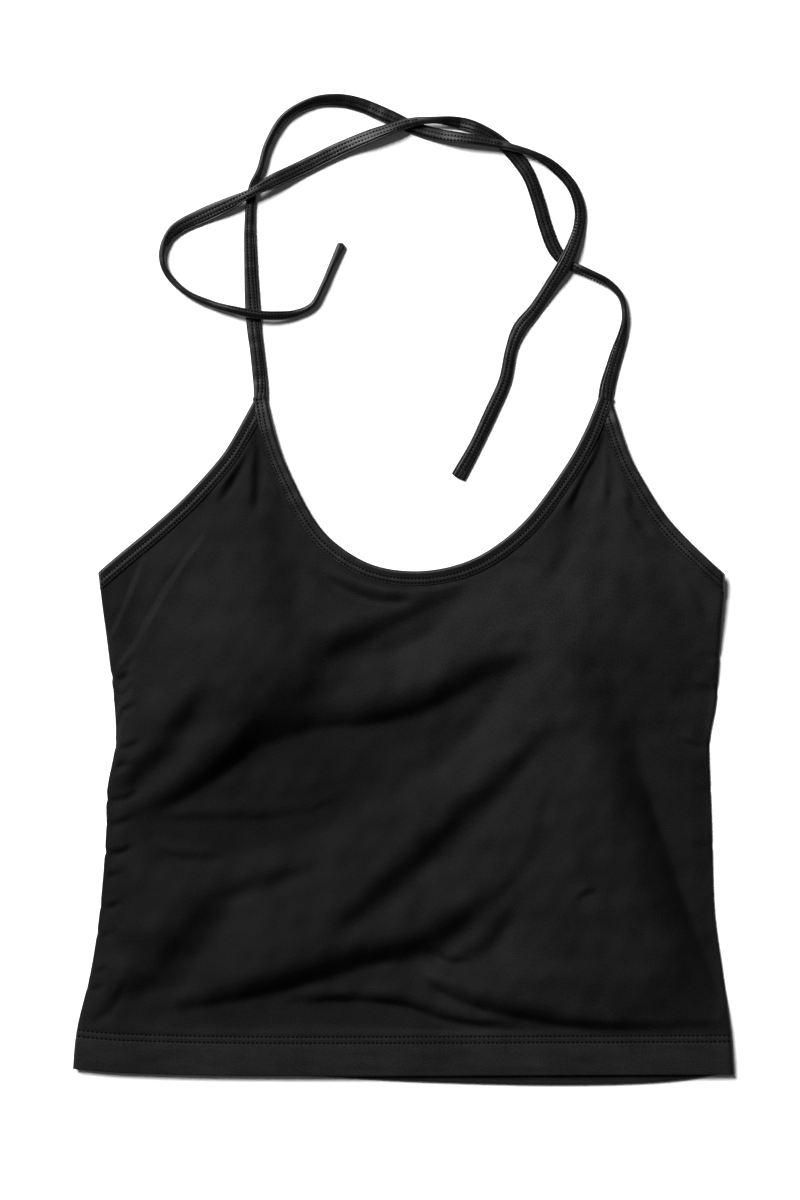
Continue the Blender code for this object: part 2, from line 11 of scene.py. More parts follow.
import bpy
import numpy as np
from bpy.props import FloatProperty, FloatVectorProperty, PointerProperty
from bpy.types import Operator, Panel, PropertyGroup
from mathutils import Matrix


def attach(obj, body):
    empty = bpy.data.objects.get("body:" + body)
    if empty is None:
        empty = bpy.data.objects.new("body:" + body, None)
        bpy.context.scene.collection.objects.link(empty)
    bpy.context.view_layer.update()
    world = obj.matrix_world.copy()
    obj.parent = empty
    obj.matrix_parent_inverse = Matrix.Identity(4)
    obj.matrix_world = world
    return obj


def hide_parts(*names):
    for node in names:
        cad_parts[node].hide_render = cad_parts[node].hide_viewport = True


bl_info = {
    "name": "Halter Neck Top",
    "version": (1, 0, 0),
    "blender": (4, 5, 0),
    "location": "3D View > Sidebar > Halter Top",
    "description": "Builds a halter neck top that lies flat, with its creases, stitches and ties",
    "category": "Add Mesh",
}

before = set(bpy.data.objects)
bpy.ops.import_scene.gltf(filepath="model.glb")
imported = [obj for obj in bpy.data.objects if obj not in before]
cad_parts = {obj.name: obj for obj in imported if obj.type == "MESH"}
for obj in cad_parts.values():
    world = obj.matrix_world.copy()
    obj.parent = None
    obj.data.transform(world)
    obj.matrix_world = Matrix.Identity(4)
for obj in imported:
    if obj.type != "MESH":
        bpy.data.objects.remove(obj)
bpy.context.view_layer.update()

MM = 0.001

# ------------------------------------------------------------------ the cut of the top

WALL = 1.0 * MM              # one layer, with the air it takes up
GAP = 0.3 * MM
LAYER = WALL + GAP
BAND_WIDTH = 9.0 * MM        # folded strip
BAND_HEIGHT = 3.6 * MM
BAND_INSET = 2.2 * MM        # from the strip's outer edge to the edge of the panel in it
BAND_FLAT = 10.0 * MM        # the panel stays level this far in from the strip's edge
BAND_EASE = 22.0 * MM        # and takes this much more to reach its free height
HEM_DEPTH = 26.0 * MM
HEM_LEVEL = 31.0 * MM
HEM_EASE = 30.0 * MM
HEM_PLACE = -210.0 * MM
BACK_TOP = 80.0 * MM
BACK_RISE = 26.0 * MM
BACK_LEVEL_HALF = 110.0 * MM
SIDE_HALF = 205.0 * MM
BACK_RAMP = 15.0 * MM
OVER_CLIMB = (-34 * MM, -12 * MM)    # rise of the front over the strip on the back
OVER_END = 8.0 * MM
OVER_FLOOR = 62.0 * MM
DRAPE_CLIMB = (-86 * MM, -6 * MM)    # the same where the front hangs loose
DRAPE_FLOOR = 96 * MM
DRAPE_HEM_EASE = 50 * MM
SEAM_EASE = 14.0 * MM
SEAM_FADE = (44 * MM, 72 * MM)
PANEL_TIP = 205 * MM
CORNER = 102 * MM

Cup = namedtuple("Cup", "x y across along height")
CUPS = (
    Cup(-100, 72, 46, 58, 6.0),
    Cup(104, 74, 48, 56, 5.5),
)

Side = namedtuple("Side", "y left right")
SIDES = (
    Side(-215, -211.5, 211.5),
    Side(-184, -208.6, 209.3),
    Side(-146, -199.7, 204.2),
    Side(-107, -193.9, 199.0),
    Side(-60, -190.1, 197.5),
    Side(-31, -189.4, 196.5),
    Side(0, -183.9, 195.8),
    Side(27, -185.0, 200.3),
    Side(65, -189.4, 202.9),
    Side(107, -194.6, 205.8),
)

FRONT_HEM = ((-212, -207.5), (-171, -210.6), (-66, -212.3), (212, -211.3))
BACK_HEM = ((-212, -206.5), (-171, -209.6), (-60, -212.8), (20, -216.2), (95, -217.9), (160, -216.4),
            (212, -210.5))
LEFT_ARMHOLE = ((-205.5, 99.2), (-181.1, 120.3), (-160.6, 137.6), (-140.2, 156.2), (-119.7, 178.6),
                (-109.4, 193.3), (-95.5, 218.5))
NECKLINE = ((-86.6, 219.0), (-81.3, 196.5), (-73.6, 175.4), (-58.2, 145.3), (-42.9, 127.4),
            (-19.8, 113.7), (7.0, 109.4), (33.9, 113.3), (57.0, 124.2), (80.0, 144.0),
            (103.0, 175.4), (115.2, 197.0), (124.4, 219.0))
RIGHT_ARMHOLE = ((133.6, 218.5), (144.0, 186.9), (154.2, 167.0), (169.6, 143.4), (190.1, 121.6),
                 (216.0, 98.0))

# Neck ties, from the neck point to the free end: place of the middle line, height of the
# underside, width, tilt of the upper face (positive: the right edge is the thinner), and
# place of the two rows of stitches as a share of the half width, to the right of travel
Tie = namedtuple("Tie", "x y rise width tilt rows")
TIE_AREA = 17.5              # the strip's section keeps this area, in square millimetres
TIE_LEFT = (
    Tie(-90.9, 219.5, 0.0, 9.0, 0, -0.15),
    Tie(-91.2, 230.0, 0.0, 9.0, 0, 0.05),
    Tie(-93.4, 249.6, 0.0, 9.2, -0.05, 0.14),
    Tie(-95.2, 264.0, 0.0, 9.4, -0.05, 0.14),
    Tie(-96.6, 286.0, 0.0, 9.4, 0, 0.05),
    Tie(-97.6, 311.0, 0.0, 8.3, 0, -0.06),
    Tie(-97.9, 334.0, 0.0, 6.8, 0, 0.0),
    Tie(-96.2, 353.5, 0.0, 6.2, 0.05, 0.1),
    Tie(-91.4, 366.5, 0.0, 4.6, 0.4, 0.3),
    Tie(-86.4, 382.7, 0.0, 5.0, 0.5, 0.3),
    Tie(-76.2, 399.2, 0.0, 5.6, 0.55, 0.4),
    Tie(-59.5, 408.7, 0.0, 6.6, 0.5, 0.36),
    Tie(-42.9, 410.6, 0.0, 8.0, 0.35, 0.34),
    Tie(-27.5, 407.8, 0.0, 9.0, 0.1, 0.3),
    Tie(-10.0, 400.6, 0.0, 9.0, -0.15, 0.3),
    Tie(7.0, 392.9, 0.0, 8.6, 0, 0.2),
    Tie(24.0, 388.0, 0.6, 8.2, -0.15, 0.2),
    Tie(39.0, 385.6, 2.3, 8.0, -0.35, 0.2),
    Tie(54.0, 383.2, 2.7, 6.4, -0.2, 0.3),
    Tie(68.0, 380.4, 2.7, 4.8, 0.1, 0.4),
    Tie(82.5, 376.0, 2.2, 4.6, 0.1, 0.4),
    Tie(95.5, 368.6, 1.0, 6.4, 0.1, 0.3),
    Tie(107.2, 356.8, 0.0, 7.2, -0.1, 0.3),
    Tie(112.8, 343.0, 0.0, 7.2, -0.1, 0.3),
    Tie(112.8, 330.6, 0.2, 7.8, -0.1, 0.25),
    Tie(108.8, 317.6, 2.6, 8.8, 0, 0.15),
    Tie(102.6, 304.4, 3.1, 9.0, 0, 0.05),
    Tie(95.0, 292.8, 1.8, 8.6, 0, -0.1),
    Tie(84.5, 277.0, 0.0, 8.4, 0, -0.2),
    Tie(74.4, 264.6, 0.0, 8.8, 0.1, -0.25),
    Tie(69.0, 250.6, 0.0, 7.6, 0, -0.25),
    Tie(65.0, 231.0, 0.0, 8.2, 0, -0.25),
    Tie(56.1, 210.6, 0.0, 8.3, 0, -0.2),
    Tie(45.8, 188.8, 0.0, 8.5, 0, -0.15),
    Tie(34.9, 168.8, 0.0, 9.2, 0, -0.1),
)
TIE_RIGHT = (
    Tie(129.1, 219.5, 0.0, 9.0, 0, 0.15),
    Tie(131.4, 230.4, 0.0, 9.2, 0, -0.1),
    Tie(136.0, 246.4, 0.0, 8.6, 0, -0.2),
    Tie(140.2, 260.0, 0.0, 6.4, 0.05, -0.25),
    Tie(141.8, 272.0, 0.0, 4.2, 0.1, -0.3),
    Tie(139.7, 284.6, 0.0, 4.3, -0.2, -0.4),
    Tie(131.0, 293.9, 0.0, 5.2, -0.5, -0.4),
    Tie(118.4, 300.4, 0.0, 5.5, -0.6, -0.4),
    Tie(105.6, 305.8, 0.0, 7.0, -0.1, -0.1),
    Tie(97.0, 315.4, 0.0, 8.8, 0, 0.1),
    Tie(91.2, 329.8, 0.0, 8.7, 0, 0.2),
    Tie(86.5, 346.2, 0.0, 8.7, 0.05, 0.2),
    Tie(80.6, 362.2, 0.0, 8.9, 0.05, 0.1),
    Tie(73.4, 373.0, 0.0, 8.8, 0, 0.0),
    Tie(65.0, 381.3, 0.0, 8.6, 0.15, -0.1),
    Tie(55.0, 388.7, 0.0, 8.6, 0.45, -0.2),
    Tie(43.2, 394.3, 0.0, 8.2, 0.3, -0.3),
    Tie(31.0, 396.8, 0.9, 6.6, -0.25, -0.3),
    Tie(20.4, 397.6, 2.3, 4.8, -0.4, -0.3),
    Tie(7.0, 396.4, 2.6, 5.6, -0.1, -0.1),
    Tie(-5.6, 392.4, 2.6, 8.0, 0.35, 0.0),
    Tie(-20.0, 387.6, 1.8, 9.2, 0.38, 0.05),
    Tie(-40.0, 379.4, 0.6, 9.6, 0.12, 0.05),
    Tie(-65.0, 367.0, 1.2, 9.6, 0, 0.05),
    Tie(-82.0, 358.8, 3.3, 9.2, 0, 0.0),
    Tie(-96.6, 351.0, 3.6, 5.8, 0.1, 0.0),
    Tie(-111.0, 344.0, 2.8, 8.8, 0, 0.0),
    Tie(-128.0, 336.7, 0.4, 9.6, 0, -0.05),
    Tie(-143.4, 329.0, 0.0, 9.0, -0.1, -0.1),
    Tie(-151.8, 320.0, 0.0, 5.4, -0.3, -0.2),
    Tie(-154.2, 309.0, 0.0, 4.1, -0.2, -0.3),
    Tie(-149.7, 298.2, 0.0, 4.2, 0, -0.3),
    Tie(-137.6, 287.1, 0.0, 4.2, 0.2, -0.3),
    Tie(-121.6, 280.0, 0.6, 4.8, 0.35, -0.3),
    Tie(-108.0, 276.2, 2.0, 5.4, 0.45, -0.3),
    Tie(-95.6, 273.6, 2.5, 6.0, 0.4, -0.3),
    Tie(-83.0, 272.6, 2.1, 6.0, 0.35, -0.3),
    Tie(-69.6, 273.9, 0.4, 5.0, 0.2, -0.3),
    Tie(-58.0, 279.3, 0.0, 4.2, 0, -0.3),
    Tie(-51.6, 290.6, 0.0, 3.8, 0, -0.3),
    Tie(-45.9, 303.4, 0.0, 4.3, 0, -0.3),
    Tie(-38.7, 319.2, 0.0, 6.0, 0, -0.3),
)

# Creases of the front, in millimetres.  The cloth is high to the left of travel by ridge
# and low to the right by trough; width is how far it takes to fall.
Crease = namedtuple("Crease", "width ridge trough points")
CREASES = (
    # below the neckline
    Crease(10.0, 4.5, 9.5, ((-58, 58), (-27, 70), (-6, 79), (15, 89), (36, 99))),
    Crease(4.4, 1.7, 5.6, ((-53, 111), (-43, 104), (-31, 99), (-15, 94), (5, 93))),
    Crease(5.9, 0.4, 1.5, ((-31, 54), (-8, 62), (14, 74))),
    Crease(3.0, 0.3, 1.0, ((66, 118), (82, 116), (98, 108))),
    # across the middle, from the right cup down to the left
    Crease(14.0, 7.5, 14.5, ((-90, -6), (-48, 8), (-21, 15), (2, 21), (19, 29), (36, 39), (54, 50),
                             (82, 60))),
    Crease(5.2, 0.4, 1.5, ((56, 66), (72, 70), (92, 66))),
    Crease(9.0, 3.6, 6.6, ((-49, -120), (-23, -99), (-2, -80), (19, -62), (36, -45), (58, -24), (79, -3),
                           (94, 10))),
    Crease(6.5, 0.5, 1.6, ((-8, -28), (18, -8), (40, 12), (62, 30))),
    # broad falls below the cups
    Crease(23.0, 8.0, 16.0, ((-150, -40), (-112, -18), (-92, 2), (-74, 24), (-58, 46))),
    Crease(15.0, 0.6, 2.4, ((84, 58), (104, 44), (122, 24), (136, 0), (146, -20))),
    # left side
    Crease(11.5, 3.4, 10.0, ((-177, -42), (-156, -40), (-138, -29), (-121, -18), (-104, -1), (-91, 18))),
    Crease(9.0, 2.6, 7.5, ((-183, -26), (-170, -19), (-156, -3), (-143, 16), (-126, 36))),
    Crease(6.2, 1.6, 4.4, ((-164, -46), (-134, -49), (-92, -48), (-57, -43), (-36, -33))),
    Crease(4.0, 1.2, 2.6, ((-157, -66), (-143, -71), (-114, -72))),
    Crease(6.2, 1.0, 3.2, ((-117, -97), (-104, -91), (-83, -84), (-60, -78))),
    Crease(13.0, 3.0, 8.6, ((-184, -163), (-160, -143), (-138, -118), (-118, -92))),
    Crease(3.0, 0.4, 1.2, ((-200, -178), (-188, -168), (-178, -150))),
    # bright creases that face the left side
    Crease(1.7, 1.4, 1.0, ((-126, 134), (-140, 114), (-154, 92), (-170, 64), (-184, 46))),
    Crease(1.6, 0.9, 0.7, ((-164, 122), (-170, 106), (-176, 90), (-188, 63))),
    Crease(1.9, 1.3, 0.9, ((-171, 52), (-176, 40), (-182, 28))),
    Crease(2.0, 1.5, 1.0, ((-174, 34), (-180, 24), (-186, 12))),
    Crease(2.2, 1.2, 0.8, ((-176, 22), (-181, 8), (-185, -8))),
    Crease(2.2, 0.9, 0.6, ((-170, -6), (-178, -16), (-188, -24))),
    # across the bottom
    Crease(12.0, 8.0, 13.0, ((-156, -172), (-129, -168), (-97, -159), (-62, -147), (-34, -138), (-6, -131),
                           (19, -122), (36, -110), (56, -94))),
    Crease(9.5, 8.0, 11.0, ((-8, -139), (19, -154), (45, -165), (79, -174), (122, -183), (156, -187))),
    Crease(6.4, 5.4, 6.4, ((-70, -164), (-27, -164), (2, -167), (28, -176), (54, -181), (82, -185))),
    Crease(6.5, 2.2, 4.0, ((26, -144), (44, -132), (60, -116), (72, -97))),
    Crease(3.2, 1.4, 2.8, ((18, -130), (27, -137), (38, -138))),
    # right side
    Crease(17.0, 12.0, 13.0, ((206, -186), (190, -148), (176, -114), (162, -80), (150, -48),
                              (137, -14), (124, 20), (112, 46))),
    Crease(4.7, 0.5, 1.9, ((196, 4), (183, 16), (171, 31))),
    Crease(3.4, 0.4, 1.5, ((192, 80), (184, 97), (177, 108))),
    Crease(2.6, 0.7, 1.3, ((156, 131), (148, 140), (142, 152))),
    Crease(2.2, 0.6, 1.1, ((171, 127), (164, 136), (161, 144))),
    Crease(5.0, 0.7, 1.2, ((58, -99), (79, -67), (92, -24))),
    Crease(5.0, 1.0, 1.6, ((152, -122), (122, -97), (105, -67))),
    Crease(2.0, 0.9, 0.8, ((110, -98), (116, -94), (124, -93))),
    Crease(2.6, 0.7, 1.5, ((209, -184), (204, -179), (206, -168))),
    # gathers under the neck points
    Crease(10.0, 1.6, 2.2, ((-78, 78), (-83, 120), (-87, 160), (-91, 190))),
    Crease(7.0, 1.2, 2.0, ((92, 104), (102, 140), (114, 170), (123, 195))),
    Crease(3.0, 1.6, 3.4, ((-96, 150), (-95, 180), (-92, 198))),
    Crease(2.8, 1.2, 2.8, ((-78, 158), (-86, 180), (-89, 194))),
    Crease(2.8, 1.2, 2.8, ((-119, 154), (-104, 180), (-95, 198))),
    Crease(3.2, 1.4, 3.4, ((105, 150), (121, 180), (127, 200))),
    Crease(3.0, 1.2, 3.0, ((146, 150), (141, 180), (134, 200))),
    Crease(2.8, 1.2, 2.4, ((130, 152), (131, 180), (130, 198))),
)

NIP_WIDTH = 2.2 * MM
FINE_CREASE = 7.0            # creases up to this wide also mark the cloth that lies on the back

# Nips in the side edges: height, depth and length of the small crease that runs in from it
Nip = namedtuple("Nip", "y depth length")
LEFT_NIPS = (
    Nip(42, 0.9, 12), Nip(32, 0.6, 9), Nip(22, 0.7, 12), Nip(-2, 0.9, 14), Nip(-14, 0.8, 12),
    Nip(-36, 1.0, 18), Nip(-51, 0.8, 14), Nip(-70, 0.9, 16), Nip(-84, 0.6, 10), Nip(-104, 0.7, 12),
    Nip(-122, 0.5, 10), Nip(-145, 0.5, 9), Nip(-156, 0.6, 10),
)
RIGHT_NIPS = (
    Nip(56, 0.6, 10), Nip(34, 0.8, 12), Nip(-2, 0.9, 16), Nip(-30, 0.4, 8), Nip(-66, 0.4, 10),
)

# Shallow creases of the back, which lies flat
BACK_CREASES = (
    Crease(6.0, 0.0, 0.45, ((-150, -120), (-90, -90), (-20, -80), (60, -96))),
    Crease(5.0, 0.0, 0.40, ((-60, 30), (10, 16), (90, 24), (140, 44))),
    Crease(5.5, 0.0, 0.40, ((170, -150), (120, -110), (96, -50))),
    Crease(4.5, 0.0, 0.35, ((-170, 20), (-130, -10), (-112, -52))),
    Crease(4.0, 0.0, 0.30, ((-30, -150), (40, -164), (110, -150))),
)


# ------------------------------------------------------------------ sizes and colours

class HalterSizes(PropertyGroup):
    """Sizes of the cloth, its stitching and its lift."""

    cloth: FloatProperty(name="Cloth", description="Thickness of one layer of the jersey",
                         default=0.6 * MM, min=0.2 * MM, max=1.2 * MM, unit="LENGTH")
    lift: FloatProperty(name="Lift", description="How far the loose front stands off the back",
                        default=6.0 * MM, min=0.0, max=10 * MM, unit="LENGTH")
    crease: FloatProperty(name="Creases", description="Share of the creases' full depth",
                          default=1.0, min=0.0, max=1.5, subtype="FACTOR")
    rumple: FloatProperty(name="Rumple", description="Height of the small unevenness of the cloth",
                          default=0.22 * MM, min=0.0, max=1 * MM, unit="LENGTH")
    hem_pitch: FloatProperty(name="Hem stitch pitch", description="From one hem stitch to the next",
                             default=2.84 * MM, min=1.5 * MM, max=5 * MM, unit="LENGTH")
    pitch: FloatProperty(name="Strip stitch pitch", description="From one stitch of a strip to the next",
                         default=2.15 * MM, min=1.2 * MM, max=5 * MM, unit="LENGTH")
    bite: FloatProperty(name="Stitch length", description="Share of the pitch that the thread shows for",
                        default=0.60, min=0.2, max=1.0, subtype="FACTOR")
    thread: FloatProperty(name="Stitch width", description="Width of a stitch sunk in the cloth",
                          default=1.15 * MM, min=0.2 * MM, max=1.6 * MM, unit="LENGTH")
    hem_row: FloatProperty(name="Hem row", description="From the hem's fold to its lower row of stitches",
                           default=20.2 * MM, min=5 * MM, max=24 * MM, unit="LENGTH")
    hem_rows_apart: FloatProperty(name="Hem rows apart", description="Between the two rows on a hem",
                                  default=4.0 * MM, min=2 * MM, max=8 * MM, unit="LENGTH")
    strip_row: FloatProperty(name="Strip row", description="From a strip's outer edge to its first row",
                             default=5.0 * MM, min=2 * MM, max=7 * MM, unit="LENGTH")
    strip_rows_apart: FloatProperty(name="Strip rows apart", description="Between the rows on a strip",
                                    default=2.8 * MM, min=1 * MM, max=4 * MM, unit="LENGTH")
    groove: FloatProperty(name="Stitch groove", description="How deep the stitches pull the cloth in",
                          default=0.34 * MM, min=0.0, max=1 * MM, unit="LENGTH")


class HalterColours(PropertyGroup):
    """Colours of the cloth, the thread and the floor."""

    jersey: FloatVectorProperty(name="Jersey", description="Colour of the panels", subtype="COLOR",
                                size=3, default=(0.0066, 0.0066, 0.0067), min=0.0, max=1.0)
    strip: FloatVectorProperty(name="Strips", description="Colour of the strips and ties", subtype="COLOR",
                               size=3, default=(0.0054, 0.0054, 0.0054), min=0.0, max=1.0)
    # The thread is much darker than the jersey: its own black, deepened as painted shade of the dimples that
    # the stitches lie in.
    thread: FloatVectorProperty(name="Thread", description="Colour of the sewing thread", subtype="COLOR",
                                size=3, default=(0.0008, 0.0008, 0.0008), min=0.0, max=1.0)
    floor: FloatVectorProperty(name="Floor", description="Colour of the surface below", subtype="COLOR",
                               size=3, default=(0.9, 0.9, 0.9), min=0.0, max=1.0)


class HalterStudio(PropertyGroup):
    """Camera and lamps."""

    camera_place: FloatVectorProperty(name="Camera", description="Place of the camera, which looks down",
                                      size=3, default=(-0.0019, 0.0909, 2.0), subtype="XYZ")
    lens: FloatProperty(name="Lens", description="Focal length on a 36 mm frame, in millimetres",
                        default=93.75, min=20.0, max=200.0)
    key: FloatProperty(name="Key lamp", description="Power of the soft lamp at the upper left, in watts",
                       default=820.0, min=0.0, max=2000.0)
    fill: FloatProperty(name="Fill lamp", description="Power of the soft lamp at the lower right, in watts",
                        default=0.4, min=0.0, max=500.0)
    sky: FloatProperty(name="Room light", description="Strength of the even light of the room",
                       default=0.06, min=0.0, max=2.0)


# ------------------------------------------------------------------ numbers and curves

def smooth_step(value, low, high):
    """0 below low, 1 above high, and an S curve between."""
    share = np.clip((value - low) / (high - low), 0.0, 1.0)
    return share * share * (3.0 - 2.0 * share)


def smooth_line(points, spacing):
    """Catmull-Rom curve through the rows of points, read at an even spacing."""
    knots = np.asarray(points, dtype=float)
    padded = np.vstack((2 * knots[0] - knots[1], knots, 2 * knots[-1] - knots[-2]))
    share = np.linspace(0.0, 1.0, 25)[:-1, None]
    pieces = []
    for a, b, c, d in zip(padded, padded[1:], padded[2:], padded[3:]):
        pieces.append(0.5 * (2 * b + (c - a) * share + (2 * a - 5 * b + 4 * c - d) * share ** 2
                             + (3 * b - a - 3 * c + d) * share ** 3))
    dense = np.vstack(pieces + [knots[-1:]])
    steps = np.linalg.norm(np.diff(dense[:, :2], axis=0), axis=1)
    along = np.concatenate(([0.0], np.cumsum(steps)))
    count = int(round(along[-1] / spacing)) + 1
    wanted = np.linspace(0.0, along[-1], count)
    return np.column_stack([np.interp(wanted, along, column) for column in dense.T])


def in_metres(table):
    """A table in millimetres as an array in metres."""
    return np.asarray(table, dtype=float) * MM


def read_line(line, x):
    """The y of a line that runs from left to right, at x."""
    return np.interp(x, line[:, 0], line[:, 1])


def length_along(line):
    """Distance of each point of a line from its start, seen from above."""
    steps = np.linalg.norm(np.diff(line[:, :2], axis=0), axis=1)
    return np.concatenate(([0.0], np.cumsum(steps)))


def right_of(line):
    """Unit vectors to the right of travel, square to the line, seen from above."""
    ahead = np.gradient(line[:, :2], axis=0)
    ahead = ahead / np.linalg.norm(ahead, axis=1)[:, None]
    return np.column_stack((ahead[:, 1], -ahead[:, 0]))


def nearest_on_line(x, y, line):
    """Distance from each point to the line, and the nearest place on it: one stretch of the
    line after another, keeping the least."""
    best = np.full(np.shape(x), np.inf)
    near_x = np.zeros(np.shape(x))
    near_y = np.zeros(np.shape(x))
    for start, end in zip(line[:-1], line[1:]):
        run = end - start
        share = np.clip(((x - start[0]) * run[0] + (y - start[1]) * run[1]) / (run @ run), 0.0, 1.0)
        place_x = start[0] + share * run[0]
        place_y = start[1] + share * run[1]
        distance = np.hypot(x - place_x, y - place_y)
        nearer = distance < best
        best = np.where(nearer, distance, best)
        near_x = np.where(nearer, place_x, near_x)
        near_y = np.where(nearer, place_y, near_y)
    return best, near_x, near_y


def uneven(along, seed, wavelength):
    """An uneven line about zero, of about unit size: five sines of seeded pitch and phase."""
    rng = np.random.default_rng(seed)
    pitch = wavelength * rng.uniform(0.6, 1.8, 5)
    phase = rng.uniform(0.0, 2 * math.pi, 5)
    return np.sin(np.asarray(along)[..., None] * (2 * math.pi / pitch) + phase).sum(axis=-1) / 2.2


def rumpled(x, y, seed, wavelength, waves=14):
    """An uneven surface about zero, of about unit size: seeded plane waves that cross."""
    rng = np.random.default_rng(seed)
    total = np.zeros(np.shape(x))
    for _ in range(waves):
        turn = rng.uniform(0.0, math.pi)
        pitch = wavelength * rng.uniform(0.6, 1.8)
        phase = rng.uniform(0.0, 2 * math.pi)
        total += np.sin((x * math.cos(turn) + y * math.sin(turn)) * 2 * math.pi / pitch + phase)
    return total / math.sqrt(waves / 2)


LEFT_EDGE = smooth_line(in_metres(LEFT_ARMHOLE), 6 * MM)
NECK_EDGE = smooth_line(in_metres(NECKLINE), 8 * MM)
RIGHT_EDGE = smooth_line(in_metres(RIGHT_ARMHOLE), 6 * MM)
FRONT_HEM_LINE = smooth_line(in_metres(FRONT_HEM), 8 * MM)
BACK_HEM_LINE = smooth_line(in_metres(BACK_HEM), 8 * MM)
SIDE_LINES = smooth_line(in_metres(SIDES), 6 * MM)
NECK_POINTS = ((LEFT_EDGE[-1, 0] + NECK_EDGE[0, 0]) / 2, (RIGHT_EDGE[0, 0] + NECK_EDGE[-1, 0]) / 2)


# ------------------------------------------------------------------ shape of the panels

def nipped(y, nips):
    """How far the side edge is drawn in at each height: a small bell curve for each nip."""
    drawn = np.zeros(np.shape(y))
    for nip in nips:
        drawn += nip.depth * MM * np.exp(-((y - nip.y * MM) / NIP_WIDTH) ** 2)
    return drawn


def side_lines(y):
    """X of the left and of the right side, without their nips."""
    height, left, right = SIDE_LINES.T
    return np.interp(y, height, left), np.interp(y, height, right)


def side_edges(y):
    """X of the left and of the right side edge."""
    left, right = side_lines(y)
    return left + nipped(y, LEFT_NIPS), right - nipped(y, RIGHT_NIPS)


def side_at(share, y):
    """X of a column that keeps its share of the width; -1 and 1 are the side edges."""
    left, right = side_edges(y)
    return share * np.where(share < 0, -left, right)


def side_distance(x, y, edges=side_edges):
    """How far in from the nearer side edge."""
    left, right = edges(y)
    return np.minimum(x - left, right - x)


def inset_line(line):
    """The line moved down so that it lies inside a strip whose outer edge it is."""
    slope = np.gradient(line[:, 1], line[:, 0])
    return line - np.column_stack((np.zeros(len(line)), BAND_INSET * np.sqrt(1 + slope ** 2)))


def front_top(x):
    """Upper edge of the front panel: armholes and neckline, cut off at the neck points."""
    neck = read_line(inset_line(NECK_EDGE), x)
    neck = np.where((x < NECK_EDGE[0, 0]) | (x > NECK_EDGE[-1, 0]), PANEL_TIP, neck)
    middle = (NECK_POINTS[0] + NECK_POINTS[1]) / 2
    armhole = np.where(x < middle, read_line(inset_line(LEFT_EDGE), x), read_line(inset_line(RIGHT_EDGE), x))
    beside = (x < LEFT_EDGE[-1, 0]) | (x > RIGHT_EDGE[0, 0])
    return np.minimum(np.where(beside, armhole, neck), PANEL_TIP)


def back_edge(x):
    """Top edge of the strip on the back: level, with a rise to each side."""
    share = np.clip((np.abs(x) - BACK_LEVEL_HALF) / (SIDE_HALF - BACK_LEVEL_HALF), 0.0, None)
    return BACK_TOP + BACK_RISE * share ** 2


def back_underside(x, y):
    """The back lies on the floor and climbs into its strip by one layer."""
    return LAYER * (1 - smooth_step(back_edge(x) - y, BAND_FLAT, BAND_FLAT + BACK_RAMP))


def stack_over(x, y, climb, floor, hem_ease):
    """Top of what lies under the front, with the air gap: it climbs onto the back's strip over
    the span climb, is down at floor beyond it, and falls from the hem over hem_ease."""
    above = y - back_edge(x)
    over_strip = BAND_HEIGHT + GAP
    climbed = LAYER + (over_strip - LAYER) * smooth_step(above, *climb)
    beyond = over_strip * (1 - smooth_step(above, OVER_END, floor))
    upper = np.where(above < OVER_END, climbed, beyond)
    hem_height = y - read_line(FRONT_HEM_LINE, x)
    return upper + LAYER * (1 - smooth_step(hem_height, HEM_LEVEL, HEM_LEVEL + hem_ease))


def stack_height(x, y):
    """Top of the back and whatever is folded on it, where the front is held down."""
    return stack_over(x, y, OVER_CLIMB, OVER_FLOOR, HEM_EASE)


def draped_stack(x, y):
    """Height that the loose front hangs at over what lies below: it bridges the steps."""
    return stack_over(x, y, DRAPE_CLIMB, DRAPE_FLOOR, DRAPE_HEM_EASE)


def stamp(x, y, path, width, height):
    """A soft raised line: bells of the given width and height set along the path so closely
    that they make one even ridge.  width and height have one value for each place."""
    spacing = np.gradient(length_along(path))
    total = np.zeros(np.shape(x))
    reach = 3 * width.max()
    inside = ((x > path[:, 0].min() - reach) & (x < path[:, 0].max() + reach)
              & (y > path[:, 1].min() - reach) & (y < path[:, 1].max() + reach))
    near_x = x[inside]
    near_y = y[inside]
    sum_near = np.zeros(near_x.shape)
    weight = height * spacing / (width * math.sqrt(math.pi))
    for (place_x, place_y), wide, heavy in zip(path, width, weight):
        sum_near += heavy * np.exp(-((near_x - place_x) ** 2 + (near_y - place_y) ** 2) / wide ** 2)
    total[inside] = sum_near
    return total


def crease_relief(x, y, creases):
    """Sum of the creases.  Each falls steeply from a ridge on the left of its line into a
    trough on the right, with long gentle flanks beyond both; it is narrow at the ends and
    swells to full height with an uneven rise and fall between."""
    relief = np.zeros(np.shape(x))
    for number, crease in enumerate(creases):
        width = crease.width * MM
        line = smooth_line(in_metres(crease.points), 0.45 * width)
        along = length_along(line)
        share = along / along[-1]
        swell = np.sin(math.pi * np.clip(share, 0.02, 0.98)) ** 0.6
        swell = swell * (1 + 0.22 * uneven(along, 40 + number, 28 * MM))
        wide = width * (0.62 + 0.38 * np.sin(math.pi * share))
        aside = right_of(line) * wide[:, None]
        ridge = crease.ridge * MM * swell
        trough = crease.trough * MM * swell
        if crease.ridge:
            relief += stamp(x, y, line - 0.55 * aside, 1.15 * wide, 0.55 * ridge)
            relief += stamp(x, y, line - 2.0 * aside, 2.6 * wide, 0.65 * ridge)
        relief -= stamp(x, y, line + 1.10 * aside, 1.15 * wide, 0.60 * trough)
        relief -= stamp(x, y, line + 2.3 * aside, 2.4 * wide, 0.45 * trough)
    return relief


